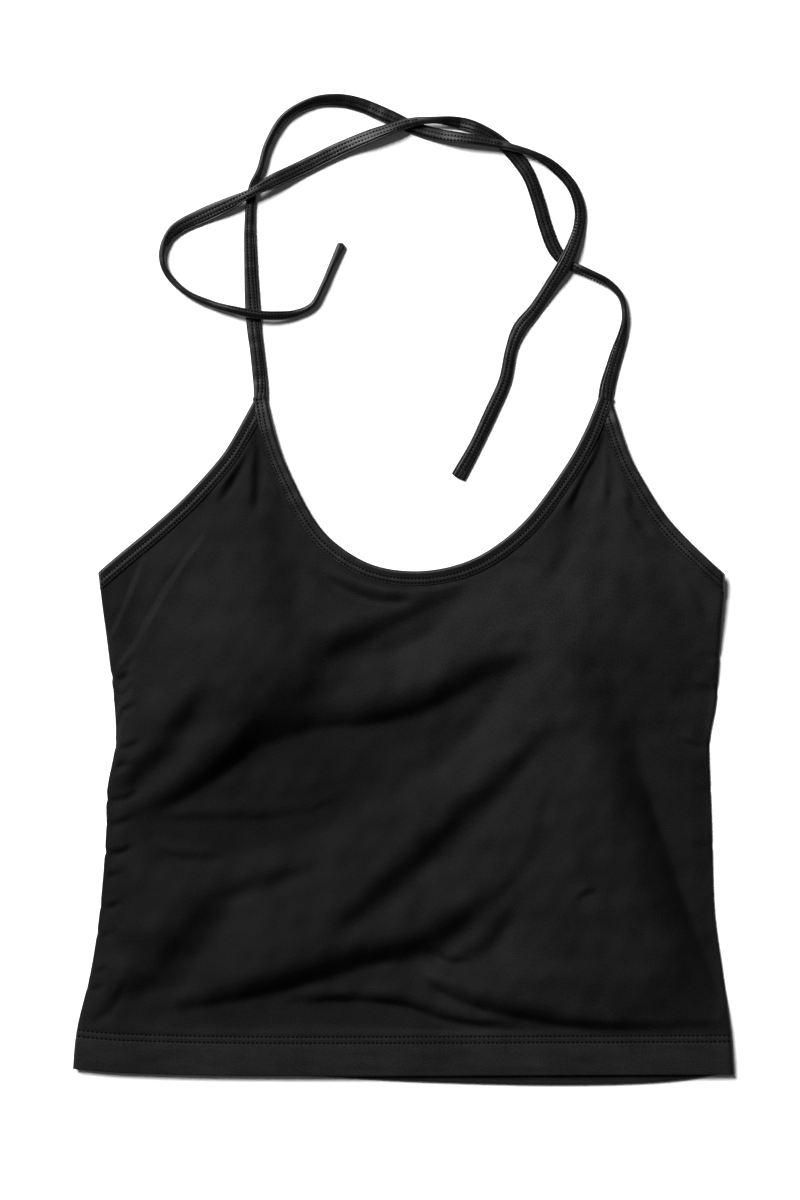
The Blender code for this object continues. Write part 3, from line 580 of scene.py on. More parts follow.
def nip_creases():
    """A short crease that runs in from each nip of a side edge, rising a little."""
    rows = []
    for nips, side in ((LEFT_NIPS, -1), (RIGHT_NIPS, 1)):
        for nip in nips:
            edge = side_edges(np.array(nip.y * MM))[(side + 1) // 2] / MM
            start = (float(edge) - side * 0.5, nip.y)
            middle = (start[0] - side * 0.5 * nip.length, nip.y + 0.08 * nip.length)
            end = (start[0] - side * nip.length, nip.y + 0.30 * nip.length)
            points = (start, middle, end) if side < 0 else (end, middle, start)
            rows.append(Crease(2.1, 0.8 * nip.depth, 1.7 * nip.depth, points))
    return tuple(rows)


# Where the front's cloth starts and stops easing: distances in from an edge
FREE_SIDE = (-4 * MM, 52 * MM)         # from the side edges to the full lift
FREE_HEM = (26 * MM, 68 * MM)          # from the hem's fold to the full lift
LIFT_EDGE = (8 * MM, 96 * MM)          # from the strips to the full lift
CUP_EDGE = (8 * MM, 90 * MM)           # from the strips to the full cups
CREASE_HEM = (24.5 * MM, 36 * MM)      # creases fade into the hem, the side edges and the strips
CREASE_SIDE = (-2 * MM, 5 * MM)
CREASE_EDGE = (8.6 * MM, 13 * MM)
BROAD_FLOOR = (-0.9 * MM, 1.0 * MM)    # how low the creases may go, and how softly they stop
FINE_FLOOR = (-1.3 * MM, 0.4 * MM)


BROAD_RUMPLE = 46 * MM                 # wavelengths of the rumple
FINE_RUMPLE = 17 * MM
HEM_GROOVE = 0.9 * MM                  # half width of the groove at a hem's row of stitches
HEM_BULGE = 0.25 * MM                  # the turned-up hem stands out this much between these
HEM_BULGE_RISE = (0.0, 6 * MM)
HEM_BULGE_FALL = (14 * MM, 20 * MM)
PUCKER_PLACE = 19 * MM                 # puckers beside the hem's rows
PUCKER_REACH = 7 * MM
PUCKER_HEIGHT = 0.07 * MM
SIDE_ROLL = 3.2 * MM                   # the side edges roll down over this much


def lowest_at(height, floor, soft):
    """The height, turned off softly before it falls below a floor: a logarithm of the sum of
    two exponentials."""
    return floor + soft * np.logaddexp(0.0, (height - floor) / soft)


def front_middle(x, y, sizes):
    """Height of the middle of the front's cloth: level in the strips and the hem, and between
    them lifted by its fullness, its cups, its creases and a small rumple."""
    edges = [nearest_on_line(x, y, line) for line in (LEFT_EDGE, NECK_EDGE, RIGHT_EDGE)]
    distances = np.stack([edge[0] for edge in edges])
    nearest = distances.argmin(axis=0)
    distance = distances.min(axis=0)
    near_x, near_y = (np.choose(nearest, [edge[axis] for edge in edges]) for axis in (1, 2))
    hem_height = y - read_line(FRONT_HEM_LINE, x)
    aside = side_distance(x, y, side_lines)

    def away(low, high):
        """0 at every upper edge and 1 far from all of them, without a ridge between."""
        return smooth_step(distances, low, high).prod(axis=0)

    cups = np.zeros(np.shape(x))
    for cup in CUPS:
        cups += cup.height * MM * np.exp(-((x - cup.x * MM) / (cup.across * MM)) ** 2
                                         - ((y - cup.y * MM) / (cup.along * MM)) ** 2)
    free = smooth_step(aside, *FREE_SIDE) * smooth_step(hem_height, *FREE_HEM)
    loose = away(BAND_FLAT, BAND_FLAT + BAND_EASE)
    lift = sizes.lift * away(*LIFT_EDGE) + cups * away(*CUP_EDGE)
    ease = smooth_step(hem_height, *CREASE_HEM) * smooth_step(aside, *CREASE_SIDE)
    ease = ease * smooth_step(distance, *CREASE_EDGE)
    broad = tuple(crease for crease in CREASES if crease.width > FINE_CREASE)
    fine = tuple(crease for crease in CREASES if crease.width <= FINE_CREASE)
    relief = lift * free + ease * sizes.crease * crease_relief(x, y, broad)
    relief = lowest_at(relief, *BROAD_FLOOR)
    detail = sizes.crease * crease_relief(x, y, fine + nip_creases())
    detail += sizes.rumple * (rumpled(x, y, 3, BROAD_RUMPLE) + 0.8 * rumpled(x, y, 4, FINE_RUMPLE))
    relief = lowest_at(relief + ease * detail, *FINE_FLOOR)
    stack = loose * draped_stack(x, y) + (1 - loose) * stack_height(near_x, near_y)
    seam = 1 - smooth_step(aside, 0.0, SEAM_EASE)
    seam = seam * smooth_step(hem_height, HEM_LEVEL, HEM_LEVEL + HEM_EASE)
    seam = seam * (1 - smooth_step(y, *SEAM_FADE))
    return LAYER + stack + relief - LAYER * seam + WALL / 2


def row_dent(height, sizes):
    """Depth of the two soft grooves of a twin-needle hem, at a height above its fold."""
    dent = np.zeros(np.shape(height))
    for row in (sizes.hem_row, sizes.hem_row + sizes.hem_rows_apart):
        dent += np.exp(-((height - row) / HEM_GROOVE) ** 2)
    return sizes.groove * dent


def front_outer(x, y, sizes):
    """The front's upper face: half a layer above its middle, with the hem's grooves and its
    tunnel between them, rolled down in a quarter ellipse at the side edges."""
    face = front_middle(x, y, sizes) + sizes.cloth / 2
    hem_height = y - read_line(FRONT_HEM_LINE, x)
    face = face - row_dent(hem_height, sizes)
    bulge = smooth_step(hem_height, *HEM_BULGE_RISE) * (1 - smooth_step(hem_height, *HEM_BULGE_FALL))
    face = face + bulge * (HEM_BULGE + 0.10 * MM * rumpled(x, 2 * y, 8, 22 * MM))
    puckers = np.exp(-((hem_height - PUCKER_PLACE) / PUCKER_REACH) ** 2)
    face = face + PUCKER_HEIGHT * puckers * rumpled(x + 0.6 * y, 0.3 * y, 9, 7 * MM)
    share = np.clip(side_distance(x, y) / SIDE_ROLL, 0.0, 1.0)
    side_level = stack_height(x, y) - 0.15 * MM
    return side_level + (face - side_level) * np.sqrt(1 - (1 - share) ** 2)


# ------------------------------------------------------------------ making the meshes

# Painted light and shade in the panels' black: where the colour is painted darker as shade and paler as
# light.
PAINTED_LIGHT_ACROSS = (-60 * MM, 70 * MM)     # from the painted shade on the left to the painted light on the right
PAINTED_SHADE_ABOVE_HEM = (26 * MM, 70 * MM)        # painted shade begins this far above the hem's fold
PAINTED_SHADE_BELOW_BUST = (-40 * MM, 60 * MM)     # painted shade below the bust, fading out between these heights
HEM_TOP = (24 * MM, 25.5 * MM)         # where the turned-up hem ends; below it the black is painted lighter, as painted light


def painted_light_and_shade_at(x, y):
    """Painted light and shade at each place, as a lightness of the black: painted light along the hem, and
    in the panel painted shade on the left and below the bust, paler towards the right.  Smooth steps across
    and up, multiplied."""
    hem = y - read_line(FRONT_HEM_LINE, x)
    across = 0.76 + 0.26 * smooth_step(x, *PAINTED_LIGHT_ACROSS)
    low = 1 - 0.28 * smooth_step(hem, *PAINTED_SHADE_ABOVE_HEM) * (1 - smooth_step(y, *PAINTED_SHADE_BELOW_BUST))
    panel = smooth_step(hem, *HEM_TOP)
    return 1.20 * (1 - panel) + across * low * panel


def painted_light_and_shade(piece):
    """Gives each point of a panel its painted light and shade, as the attribute that the jersey reads."""
    places = np.empty(len(piece.data.vertices) * 3)
    piece.data.vertices.foreach_get("co", places)
    x, y = places.reshape(-1, 3)[:, :2].T
    layer = piece.data.attributes.new("painted_light_and_shade", "FLOAT", "POINT")
    layer.data.foreach_set("value", painted_light_and_shade_at(x, y).astype(np.float32))


SHARP_ANGLE = 62             # in degrees; edges sharper than this are not smoothed


def new_piece(name, points, faces, corner_uv, material):
    """An object from an array of points, a list of faces and the cloth coordinates of each
    face corner, in metres; it lies still with the rest of the top."""
    mesh = bpy.data.meshes.new(name)
    mesh.from_pydata(np.asarray(points).reshape(-1, 3), [], faces)
    layer = mesh.uv_layers.new(name="cloth")
    layer.data.foreach_set("uv", np.asarray(corner_uv, dtype=np.float32).ravel())
    mesh.shade_smooth()
    mesh.set_sharp_from_angle(angle=math.radians(SHARP_ANGLE))
    mesh.materials.append(material)
    piece = bpy.data.objects.new(name, mesh)
    bpy.context.scene.collection.objects.link(piece)
    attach(piece, "root")
    return piece


COARSE = 3                   # the unseen side of a panel keeps every third point
FOLD_ROWS = 5                # rows that round a hem's fold


def grid_quads(rows, columns):
    """Corner numbers of the quads of a grid whose points run row by row, facing up."""
    corner = np.arange(rows * columns).reshape(rows, columns)
    corners = (corner[:-1, :-1], corner[:-1, 1:], corner[1:, 1:], corner[1:, :-1])
    return np.stack(corners, axis=-1).reshape(-1, 4)


def spread(level, furthest, reach):
    """Each point takes the furthest level found within reach rows and columns of it."""
    for axis in (0, 1):
        beyond = [(reach, reach) if number == axis else (0, 0) for number in (0, 1)]
        padded = np.pad(level, beyond, mode="edge")
        near = [padded.take(np.arange(level.shape[axis]) + first, axis) for first in range(2 * reach + 1)]
        level = furthest.reduce(near)
    return level


def shell(name, face, wall, rows_kept, material, downward=False):
    """A cloth shell.  face is the fine grid of its seen side; the other side takes every few
    points of it, moved by wall along Z, and the two are joined round the rim."""
    rows, columns = face.shape[:2]
    down = np.unique(np.concatenate((rows_kept, np.arange(0, rows, COARSE), [rows - 1])))
    across = np.unique(np.append(np.arange(0, columns, COARSE), columns - 1))
    furthest = np.minimum if wall[rows // 2, columns // 2] < 0 else np.maximum
    level = spread(face[..., 2], furthest, COARSE)
    rim = np.zeros((rows, columns), dtype=bool)
    rim[:FOLD_ROWS] = rim[-1] = rim[:, 0] = rim[:, -1] = True
    level = np.where(rim, face[..., 2], level)
    other = face[down][:, across].copy()
    other[..., 2] = (level + wall)[down][:, across]
    fine = np.arange(rows * columns).reshape(rows, columns)
    first = rows * columns
    coarse = first + np.arange(len(down) * len(across)).reshape(len(down), len(across))
    seen = grid_quads(rows, columns)
    hidden = first + grid_quads(len(down), len(across))[:, ::-1]
    rims = []
    for low, high, at, to in zip(across[:-1], across[1:], range(len(across)), range(1, len(across))):
        rims.append([coarse[0, at], coarse[0, to], *fine[0, low:high + 1][::-1]])
        rims.append([coarse[-1, to], coarse[-1, at], *fine[-1, low:high + 1]])
    for low, high, at, to in zip(down[:-1], down[1:], range(len(down)), range(1, len(down))):
        rims.append([coarse[to, 0], coarse[at, 0], *fine[low:high + 1, 0]])
        rims.append([coarse[at, -1], coarse[to, -1], *fine[low:high + 1, -1][::-1]])
    faces = seen.tolist() + hidden.tolist() + [[int(corner) for corner in rim] for rim in rims]
    if downward:
        faces = [corners[::-1] for corners in faces]
    points = np.vstack((face.reshape(-1, 3), other.reshape(-1, 3)))
    corners = np.concatenate([np.asarray(corners) for corners in faces])
    return new_piece(name, points, faces, points[corners, :2], material)


def round_outline(across, height):
    """Length round a closed outline, at each of its points and back at the first."""
    return length_along(np.column_stack((np.append(across, across[0]), np.append(height, height[0]))))


def tube(name, rings, along, girth, material):
    """A closed tube through rings of points (stations, points round, 3).  Each ring runs so
    that the faces point out, and both ends are capped."""
    stations, around = rings.shape[:2]
    row = np.arange(stations - 1)[:, None]
    column = np.arange(around)[None, :]
    following = (column + 1) % around
    quads = np.stack((row * around + column, row * around + following, (row + 1) * around + following,
                      (row + 1) * around + column), axis=-1).reshape(-1, 4)
    low = along[row + 0 * column]
    high = along[row + 1 + 0 * column]
    near = girth[column + 0 * row]
    far = girth[column + 1 + 0 * row]
    quad_uv = np.stack((np.stack((near, low), -1), np.stack((far, low), -1), np.stack((far, high), -1),
                        np.stack((near, high), -1)), axis=2).reshape(-1, 2)
    start_cap = list(range(around))[::-1]
    end_cap = [(stations - 1) * around + number for number in range(around)]
    start_uv = np.column_stack((girth[:-1][::-1], np.full(around, along[0])))
    end_uv = np.column_stack((girth[:-1], np.full(around, along[-1])))
    faces = quads.tolist() + [start_cap, end_cap]
    return new_piece(name, rings, faces, np.vstack((quad_uv, start_uv, end_uv)), material)


def stitch_rows(name, starts, ends, up, sizes, colours):
    """Stitches as one mesh: each a five-sided grain of thread from its start to its end,
    thickest at the middle and flattened, sunk in the cloth.  up is 1, or -1 underneath."""
    ahead = ends - starts
    length = np.linalg.norm(ahead, axis=1)[:, None]
    ahead = ahead / length
    aside = np.cross(ahead, (0.0, 0.0, up))
    aside = aside / np.linalg.norm(aside, axis=1)[:, None]
    top = np.cross(aside, ahead)
    place = np.array((0.0, 0.22, 0.78, 1.0))
    thick = np.array((0.45, 1.0, 1.0, 0.45)) * sizes.thread / 2
    turn = np.arange(5) * 2 * math.pi / 5 + math.pi / 2
    ring = thick[:, None] * np.cos(turn)
    rise = thick[:, None] * np.sin(turn) * 0.4
    points = (starts[:, None, None] + ahead[:, None, None] * (place[:, None, None] * length[:, None, None])
              + aside[:, None, None] * ring[..., None] + top[:, None, None] * rise[..., None])
    count = len(starts)
    row = np.arange(3)[:, None] * 5
    column = np.arange(5)[None, :]
    following = (column + 1) % 5
    one = np.stack((row + column, row + 5 + column, row + 5 + following, row + following), axis=-1)
    first = 20 * np.arange(count)[:, None]
    quads = (one.reshape(-1, 4) + first[..., None]).reshape(-1, 4)
    caps = np.concatenate((np.arange(5) + first, 15 + np.arange(5)[::-1] + first))
    points = points.reshape(-1, 3)
    faces = quads.tolist() + caps.tolist()
    corners = np.concatenate((quads.ravel(), caps.ravel()))
    return new_piece(name, points, faces, points[corners, :2], sewing_thread(colours))


def stitch_ends(start, pitch, place, sizes):
    """Starts and ends of two rows of stitches.  place(row, at) gives the points of a row, 0 or
    1, at lengths along it; a stitch ends the share bite of a pitch after its start."""
    return [np.vstack([place(row, start + offset) for row in (0, 1)])
            for offset in (0.0, sizes.bite * pitch)]


# ------------------------------------------------------------------ finishes

WAVES = 0.314                # scale at which a wave texture repeats once in a unit


def add_node(tree, kind, inputs, **values):
    """A node with its settings and its inputs; an input given as another node's output is
    linked to it."""
    node = tree.nodes.new(kind)
    for name, value in values.items():
        setattr(node, name, value)
    for name, value in inputs.items():
        if isinstance(value, bpy.types.NodeSocket):
            tree.links.new(value, node.inputs[name])
        else:
            node.inputs[name].default_value = value
    return node


def new_finish(name, plain):
    """A material, its node tree, its shader with the plain values of some inputs, and the
    cloth coordinates of the piece."""
    material = bpy.data.materials.new(name)
    material.use_nodes = True
    tree = material.node_tree
    shader = tree.nodes["Principled BSDF"]
    for socket, value in plain.items():
        shader.inputs[socket].default_value = value
    cloth = add_node(tree, "ShaderNodeUVMap", {}, uv_map="cloth").outputs["UV"]
    return material, tree, shader, cloth


def shade_ramp(tree, fac, colour, low, high):
    """Colour that runs with fac from a darker to a lighter share of itself.  low and high
    are each a place on the ramp and a share of the colour."""
    ramp = add_node(tree, "ShaderNodeValToRGB", {"Fac": fac})
    for end, (place, share) in zip(ramp.color_ramp.elements, (low, high)):
        end.position = place
        end.color = (*(share * value for value in colour), 1.0)
    return ramp.outputs["Color"]


def cloth_finish(name, colour, roughness, gloss_level, wale, bump, painted_light_and_shade_on=False):
    """Black stretch jersey: fine knitted wales and courses as bump, a slight mottle of shade and of
    roughness, and a soft sheen.  Where asked, the colour is scaled by the painted light and shade that the
    piece carries."""
    material, tree, shader, cloth = new_finish(name, {
        "Metallic": 0.0, "IOR": 1.45, "Specular IOR Level": gloss_level, "Sheen Weight": 0.0})

    def waves(direction, pitch):
        """Ridges across the direction, at a pitch."""
        return add_node(tree, "ShaderNodeTexWave",
                        {"Vector": cloth, "Scale": WAVES / pitch, "Distortion": 0.4},
                        wave_type="BANDS", bands_direction=direction, wave_profile="SIN").outputs["Fac"]

    def noise(size, detail, rough=0.5):
        """Soft unevenness of a size."""
        return add_node(tree, "ShaderNodeTexNoise", {"Vector": cloth, "Scale": 1 / size, "Detail": detail,
                                                     "Roughness": rough}).outputs["Fac"]

    knit = add_node(tree, "ShaderNodeMath", {0: waves("X", wale), 1: waves("Y", 0.8 * wale)},
                    operation="MULTIPLY")
    height = add_node(tree, "ShaderNodeMath", {0: knit.outputs[0], 1: noise(1.1 * MM, 2.0)}, operation="ADD")
    relief = add_node(tree, "ShaderNodeBump", {"Strength": bump, "Distance": 0.12 * MM,
                                               "Height": height.outputs[0]})
    mottle = noise(38 * MM, 5.0, 0.6)
    blend = add_node(tree, "ShaderNodeMix", {"Factor": 0.6, "A": mottle, "B": noise(0.9 * MM, 1.0)},
                     data_type="FLOAT")
    shade = shade_ramp(tree, blend.outputs["Result"], colour, (0.38, 0.55), (0.62, 1.45))
    # painted light and shade: the colour is scaled by the piece's painted lightness at each point
    if painted_light_and_shade_on:
        painted_lightness = add_node(tree, "ShaderNodeAttribute", {}, attribute_name="painted_light_and_shade")
        shade = add_node(tree, "ShaderNodeVectorMath", {0: shade, "Scale": painted_lightness.outputs["Fac"]},
                         operation="SCALE").outputs["Vector"]
    gloss = add_node(tree, "ShaderNodeMapRange", {"Value": mottle, "From Min": 0.3, "From Max": 0.7,
                                                  "To Min": roughness - 0.03, "To Max": roughness + 0.03})
    tree.links.new(relief.outputs["Normal"], shader.inputs["Normal"])
    tree.links.new(shade, shader.inputs["Base Color"])
    tree.links.new(gloss.outputs["Result"], shader.inputs["Roughness"])
    return material


def thread_finish(name, colour):
    """Dull black thread, darker than the jersey as painted shade of the dimples it lies in: fine slanted
    twist as bump, with a little unevenness of shade.
    """
    material, tree, shader, cloth = new_finish(name, {"Roughness": 0.85, "Specular IOR Level": 0.03})
    twist = add_node(tree, "ShaderNodeTexWave", {"Vector": cloth, "Scale": WAVES / (0.3 * MM)},
                     wave_type="BANDS", bands_direction="DIAGONAL")
    relief = add_node(tree, "ShaderNodeBump", {"Strength": 0.5, "Distance": 0.05 * MM,
                                               "Height": twist.outputs["Fac"]})
    speckle = add_node(tree, "ShaderNodeTexNoise", {"Vector": cloth, "Scale": 1 / (2 * MM)})
    shade = shade_ramp(tree, speckle.outputs["Fac"], colour, (0.0, 0.7), (1.0, 1.3))
    tree.links.new(relief.outputs["Normal"], shader.inputs["Normal"])
    tree.links.new(shade, shader.inputs["Base Color"])
    return material


def finish_named(name, make, *values):
    """The finish of that name, made the first time that it is asked for."""
    return bpy.data.materials.get(name) or make(name, *values)


def jersey_finish(colours):
    """The panels' jersey: matt, with a fine knit, and the painted light and shade that each panel carries.
    """
    return finish_named("black_jersey", cloth_finish, tuple(colours.jersey), 0.60, 0.03, 0.55 * MM, 0.6,
                        True)


def strip_finish(colours):
    """The same jersey pulled tight over the strips, a little glossier."""
    return finish_named("black_jersey_strip", cloth_finish, tuple(colours.strip), 0.40, 0.18, 0.5 * MM, 0.3)


def tie_finish(colours):
    """The ties' jersey, folded tightest: deeper and glossier again."""
    colour = tuple(0.75 * value for value in colours.strip)
    return finish_named("black_jersey_tie", cloth_finish, colour, 0.36, 0.20, 0.5 * MM, 0.3)


def sewing_thread(colours):
    """The thread of every row of stitches."""
    return finish_named("black_thread", thread_finish, tuple(colours.thread))


# ------------------------------------------------------------------ stage

FLOOR_HALF = 4.0
FLOOR_LEVEL = -0.2 * MM
KEY_SIZE = 2.6
KEY_PLACE = (-2.7, 3.0, 3.25)
KEY_TARGET = (0.0, 0.1, 0.0)
FILL_SIZE = 1.6
FILL_PLACE = (1.4, -0.9, 1.5)
FILL_TARGET = (0.0, 0.0, 0.0)


class HALTER_OT_stage(Operator):
    """Pale floor, soft lamps and the camera that looks straight down"""

    bl_idname = "halter.stage"
    bl_label = "Make Stage"

    def execute(self, context):
        scene = context.scene
        studio = scene.halter_studio
        mesh = bpy.data.meshes.new("floor")
        corners = ((-1, -1), (1, -1), (1, 1), (-1, 1))
        mesh.from_pydata([(FLOOR_HALF * x, FLOOR_HALF * y, FLOOR_LEVEL) for x, y in corners],
                         [], [(0, 1, 2, 3)])
        floor = bpy.data.objects.new("floor", mesh)
        scene.collection.objects.link(floor)
        paper = bpy.data.materials.new("white_paper")
        paper.use_nodes = True
        shader = paper.node_tree.nodes["Principled BSDF"]
        shader.inputs["Base Color"].default_value = (*scene.halter_colours.floor, 1.0)
        shader.inputs["Roughness"].default_value = 0.9
        shader.inputs["Specular IOR Level"].default_value = 0.1
        mesh.materials.append(paper)

        lens = bpy.data.cameras.new("camera")
        lens.sensor_width = 36.0
        lens.lens = studio.lens
        camera = bpy.data.objects.new("camera", lens)
        camera.location = studio.camera_place
        scene.collection.objects.link(camera)
        scene.camera = camera

        self.lamp(scene, "key_lamp", studio.key, KEY_SIZE, KEY_PLACE, KEY_TARGET)
        self.lamp(scene, "fill_lamp", studio.fill, FILL_SIZE, FILL_PLACE, FILL_TARGET)
        world = bpy.data.worlds.new("room")
        world.use_nodes = True
        backdrop = world.node_tree.nodes["Background"]
        backdrop.inputs["Color"].default_value = (1.0, 1.0, 1.0, 1.0)
        backdrop.inputs["Strength"].default_value = studio.sky
        scene.world = world
        scene.view_settings.view_transform = "Standard"
        return {"FINISHED"}

    @staticmethod
    def lamp(scene, name, power, size, place, target):
        """A square soft lamp that faces its target."""
        light = bpy.data.lights.new(name, "AREA")
        light.shape = "SQUARE"
        light.size = size
        light.energy = power
        lamp = bpy.data.objects.new(name, light)
        lamp.location = place
        toward = np.array(target) - np.array(place)
        flat = math.hypot(toward[0], toward[1])
        turned = math.atan2(toward[1], toward[0]) - math.pi / 2
        lamp.rotation_euler = (math.atan2(flat, -toward[2]), 0.0, turned)
        scene.collection.objects.link(lamp)


# ------------------------------------------------------------------ ties

TIE_ROWS_APART = 2.7 * MM
TIE_CENTRE = 1.0 * MM        # about half a tie's thickness
TIE_SPACING = 0.72 * MM      # from one section of a tie to the next
TIE_THREAD_LIFT = 0.09 * MM
TIE_THREAD_WIDTH = 5.2 * MM  # a tie turned narrower than this shows no stitches
TIE_TOP = 33                 # points over a tie's upper face
TIE_BOTTOM = 12
TIE_FLAT = (4.6 * MM, 7.2 * MM)      # a tie's face is flat when wider than this, round when narrower
TIE_GROOVE = 0.5 * MM                # half width of a groove
TIE_SEAM = 0.32 * MM                 # half width of the seam, and its distance from the edge
TIE_SEAM_IN = 1.1 * MM
TIE_FULLER = 0.8 * MM                # a tie is this much thicker where it leaves the strip
TIE_FULLER_END = 16 * MM


def tie_stations(table, spacing):
    """Columns along a tie, at an even spacing: x, y, rise, width, tilt, rows."""
    rows = [(t.x * MM, t.y * MM, t.rise * MM, t.width * MM, t.tilt, t.rows) for t in table]
    stations = smooth_line(rows, spacing)
    stations[:, 2] = np.maximum(stations[:, 2], 0.0)
    return stations


def tie_thickness(width, along):
    """The section keeps its area; it is fuller where it leaves the strip."""
    thick = TIE_AREA * MM ** 2 / width
    return thick + TIE_FULLER * (1 - smooth_step(along, 0.0, TIE_FULLER_END))


def tie_face(share, station, along, sizes, seed):
    """Height of a tie's upper face above its underside: a flat-topped oval with a groove at
    each row of stitches, deepest under the thread, and a seam along the edge where the
    folded strip closes.  share runs from -1 to 1 across the width."""
    width = station[:, 3:4]
    thick = tie_thickness(width, along[:, None])
    flat = smooth_step(width, *TIE_FLAT)
    power = 2.2 + 1.6 * flat
    oval = np.sqrt(np.clip(1 - np.abs(share) ** power, 0.0, 1.0))
    height = thick / 2 * (1 + oval)
    across = share * width / 2
    under_thread = 0.7 + 0.3 * np.cos(2 * math.pi * (along[:, None] / sizes.pitch - sizes.bite / 2))
    for side in (-0.5, 0.5):
        row = station[:, 5:6] * width / 2 + side * TIE_ROWS_APART
        dent = sizes.groove * (0.3 + 0.3 * flat) * under_thread
        height = height - dent * np.exp(-((across - row) / TIE_GROOVE) ** 2)
    seam = np.exp(-((across - seed * (width / 2 - TIE_SEAM_IN)) / TIE_SEAM) ** 2)
    height = height - 0.5 * MM * flat * seam
    return height + 0.06 * MM * uneven(along, 70 + seed, 9 * MM)[:, None] * oval


def tie_place(station, across, height):
    """Point at a distance across a tie and a height above its underside.  The tie leans by
    its tilt, a slope that falls to the right of travel where it is above zero."""
    slope = station[:, None, 4]
    lean = 1 / np.sqrt(1 + slope ** 2)
    aside = (across + slope * (height - TIE_CENTRE)) * lean
    raised = np.abs(slope) * station[:, None, 3] / 2 * lean
    return np.stack((station[:, None, 0] + aside * station[:, None, 6],
                     station[:, None, 1] + aside * station[:, None, 7],
                     station[:, None, 2] + raised - slope * across * lean + height), axis=-1)


def make_tie(name, table, tip, seam_side, sizes, colours, node):
    """A tie as a tube: sections set square to its line, rounded off over tip at the free end,
    with two rows of stitches.  Returns the tie, its stitches and its middle line."""
    stations = tie_stations(table, TIE_SPACING)
    stations = np.column_stack((stations, right_of(stations)))
    along = length_along(stations)
    wander = uneven(along, 60 + seam_side, 34 * MM)
    stations[:, 3] *= 1 + 0.025 * wander
    top, bottom = (1.5 * even - 0.5 * even ** 3 for even in (
        np.linspace(-1.0, 1.0, TIE_TOP), np.linspace(1.0, -1.0, TIE_BOTTOM + 1)[1:-1]))
    upper = tie_face(top[None, :], stations, along, sizes, seam_side)
    thick = tie_thickness(stations[:, 3:4], along[:, None])
    lower = thick / 2 * (1 - np.sqrt(1 - np.abs(bottom) ** 6))
    across = np.concatenate((top, bottom)) * stations[:, 3:4] / 2
    height = np.concatenate((upper, lower), axis=1)
    left = np.clip((along[-1] - along) / tip, 0.0, 1.0)
    closing = np.sqrt(1 - (1 - left) ** 2)[:, None]
    closing = np.maximum(closing, 0.08)
    centre = thick / 2
    rings = tie_place(stations, across * closing, centre + (height - centre) * closing)
    girth = round_outline(across[0], height[0])
    tie = tube(name, rings, along, girth, tie_finish(colours))

    def on_tie(row, at):
        """Points of a row of stitches at lengths along the tie."""
        station = np.column_stack([np.interp(at, along, column) for column in stations.T])
        across = station[:, 5:6] * station[:, 3:4] / 2 + (row - 0.5) * TIE_ROWS_APART
        share = across / (station[:, 3:4] / 2)
        level = tie_face(share, station, at, sizes, seam_side) + TIE_THREAD_LIFT
        return tie_place(station, across, level)[:, 0]

    wide = (stations[:, 3] > TIE_THREAD_WIDTH).astype(float)
    start = np.arange(4 * MM, along[-1] - 6 * MM, sizes.pitch)
    shown = np.tile(np.interp(start, along, wide) > 0.5, 2)
    starts, ends = stitch_ends(start, sizes.pitch, on_tie, sizes)
    thread = stitch_rows(name + "_stitches", starts[shown], ends[shown], 1, sizes, colours)
    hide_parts(node)
    lean = np.abs(stations[:, 4]) * stations[:, 3] / 2
    line = np.column_stack((stations[:, :2], stations[:, 2] + lean + thick[:, 0] / 2))
    return tie, thread, line


class HALTER_OT_ties(Operator):
    """The two neck ties with their stitches"""

    bl_idname = "halter.ties"
    bl_label = "Make Ties"

    def execute(self, context):
        sizes = context.scene.halter_sizes
        colours = context.scene.halter_colours
        ties = (("left", TIE_LEFT, 1.0 * MM, 1), ("right", TIE_RIGHT, 2.4 * MM, -1))
        for side, table, tip, seam_side in ties:
            tie, thread, line = make_tie("neck_tie_" + side, table, tip, seam_side, sizes, colours,
                                         "tie_" + side)
        return {"FINISHED"}


# ------------------------------------------------------------------ panels

def hem_fold(share, hem_line):
    """Y of a hem's fold at each column."""
    return read_line(hem_line, side_at(share, HEM_PLACE))


FOLD_ANGLES = (0, 22.5, 45, 67.5)    # of the rows round a hem's fold, in degrees
FOLD_ROUND = 1.1 * MM                # how far the fold stands out from the hem's line
FRONT_COLUMNS = (73, 151, 53)        # left of the neck points, between them, and right of them
FRONT_ROWS = (30 * MM, 37, 229)      # height of the hem's part of the grid, its rows, rows above
BACK_ROWS = (28 * MM, 29, 96)
BACK_COLUMNS = 141
FRONT_HEM_WALL = 1.9 * MM            # the turned-up hem as one with the panel
RIM_WALL = 0.1 * MM                  # walls close to this round the rim
HEM_THREAD_ENDS = (3.5 * MM, 4 * MM)
FRONT_THREAD_LIFT = 0.12 * MM
BACK_THREAD_LEVEL = 0.2 * MM
BACK_CREASE_HEM = (26 * MM, 44 * MM)   # the back's creases fade into its hem and its top
BACK_CREASE_TOP = (12 * MM, 30 * MM)
BACK_ROUND = 1.2 * MM                  # its side edges are rounded over this much


def fold_rows(share, low, centre, level):
    """Rows of points round the outside of a hem's fold, from its edge up to where it is level:
    Y is low - FOLD_ROUND cos(angle), and the height is centre + (level - centre) sin(angle)."""
    rows = []
    for angle in FOLD_ANGLES:
        turn = math.radians(angle)
        y = low - FOLD_ROUND * math.cos(turn)
        rows.append(np.column_stack((side_at(share, y), y, centre + (level - centre) * math.sin(turn))))
    return np.array(rows)


def grid_heights(low, top, hem, hem_rows, rows):
    """Y of a panel's grid at each column: even rows over the hem, then even shares to the top."""
    return np.concatenate((np.linspace(0.0, hem, hem_rows)[:, None] + low,
                           low + hem + np.linspace(0.0, 1.0, rows)[1:, None] * (top - low - hem)))


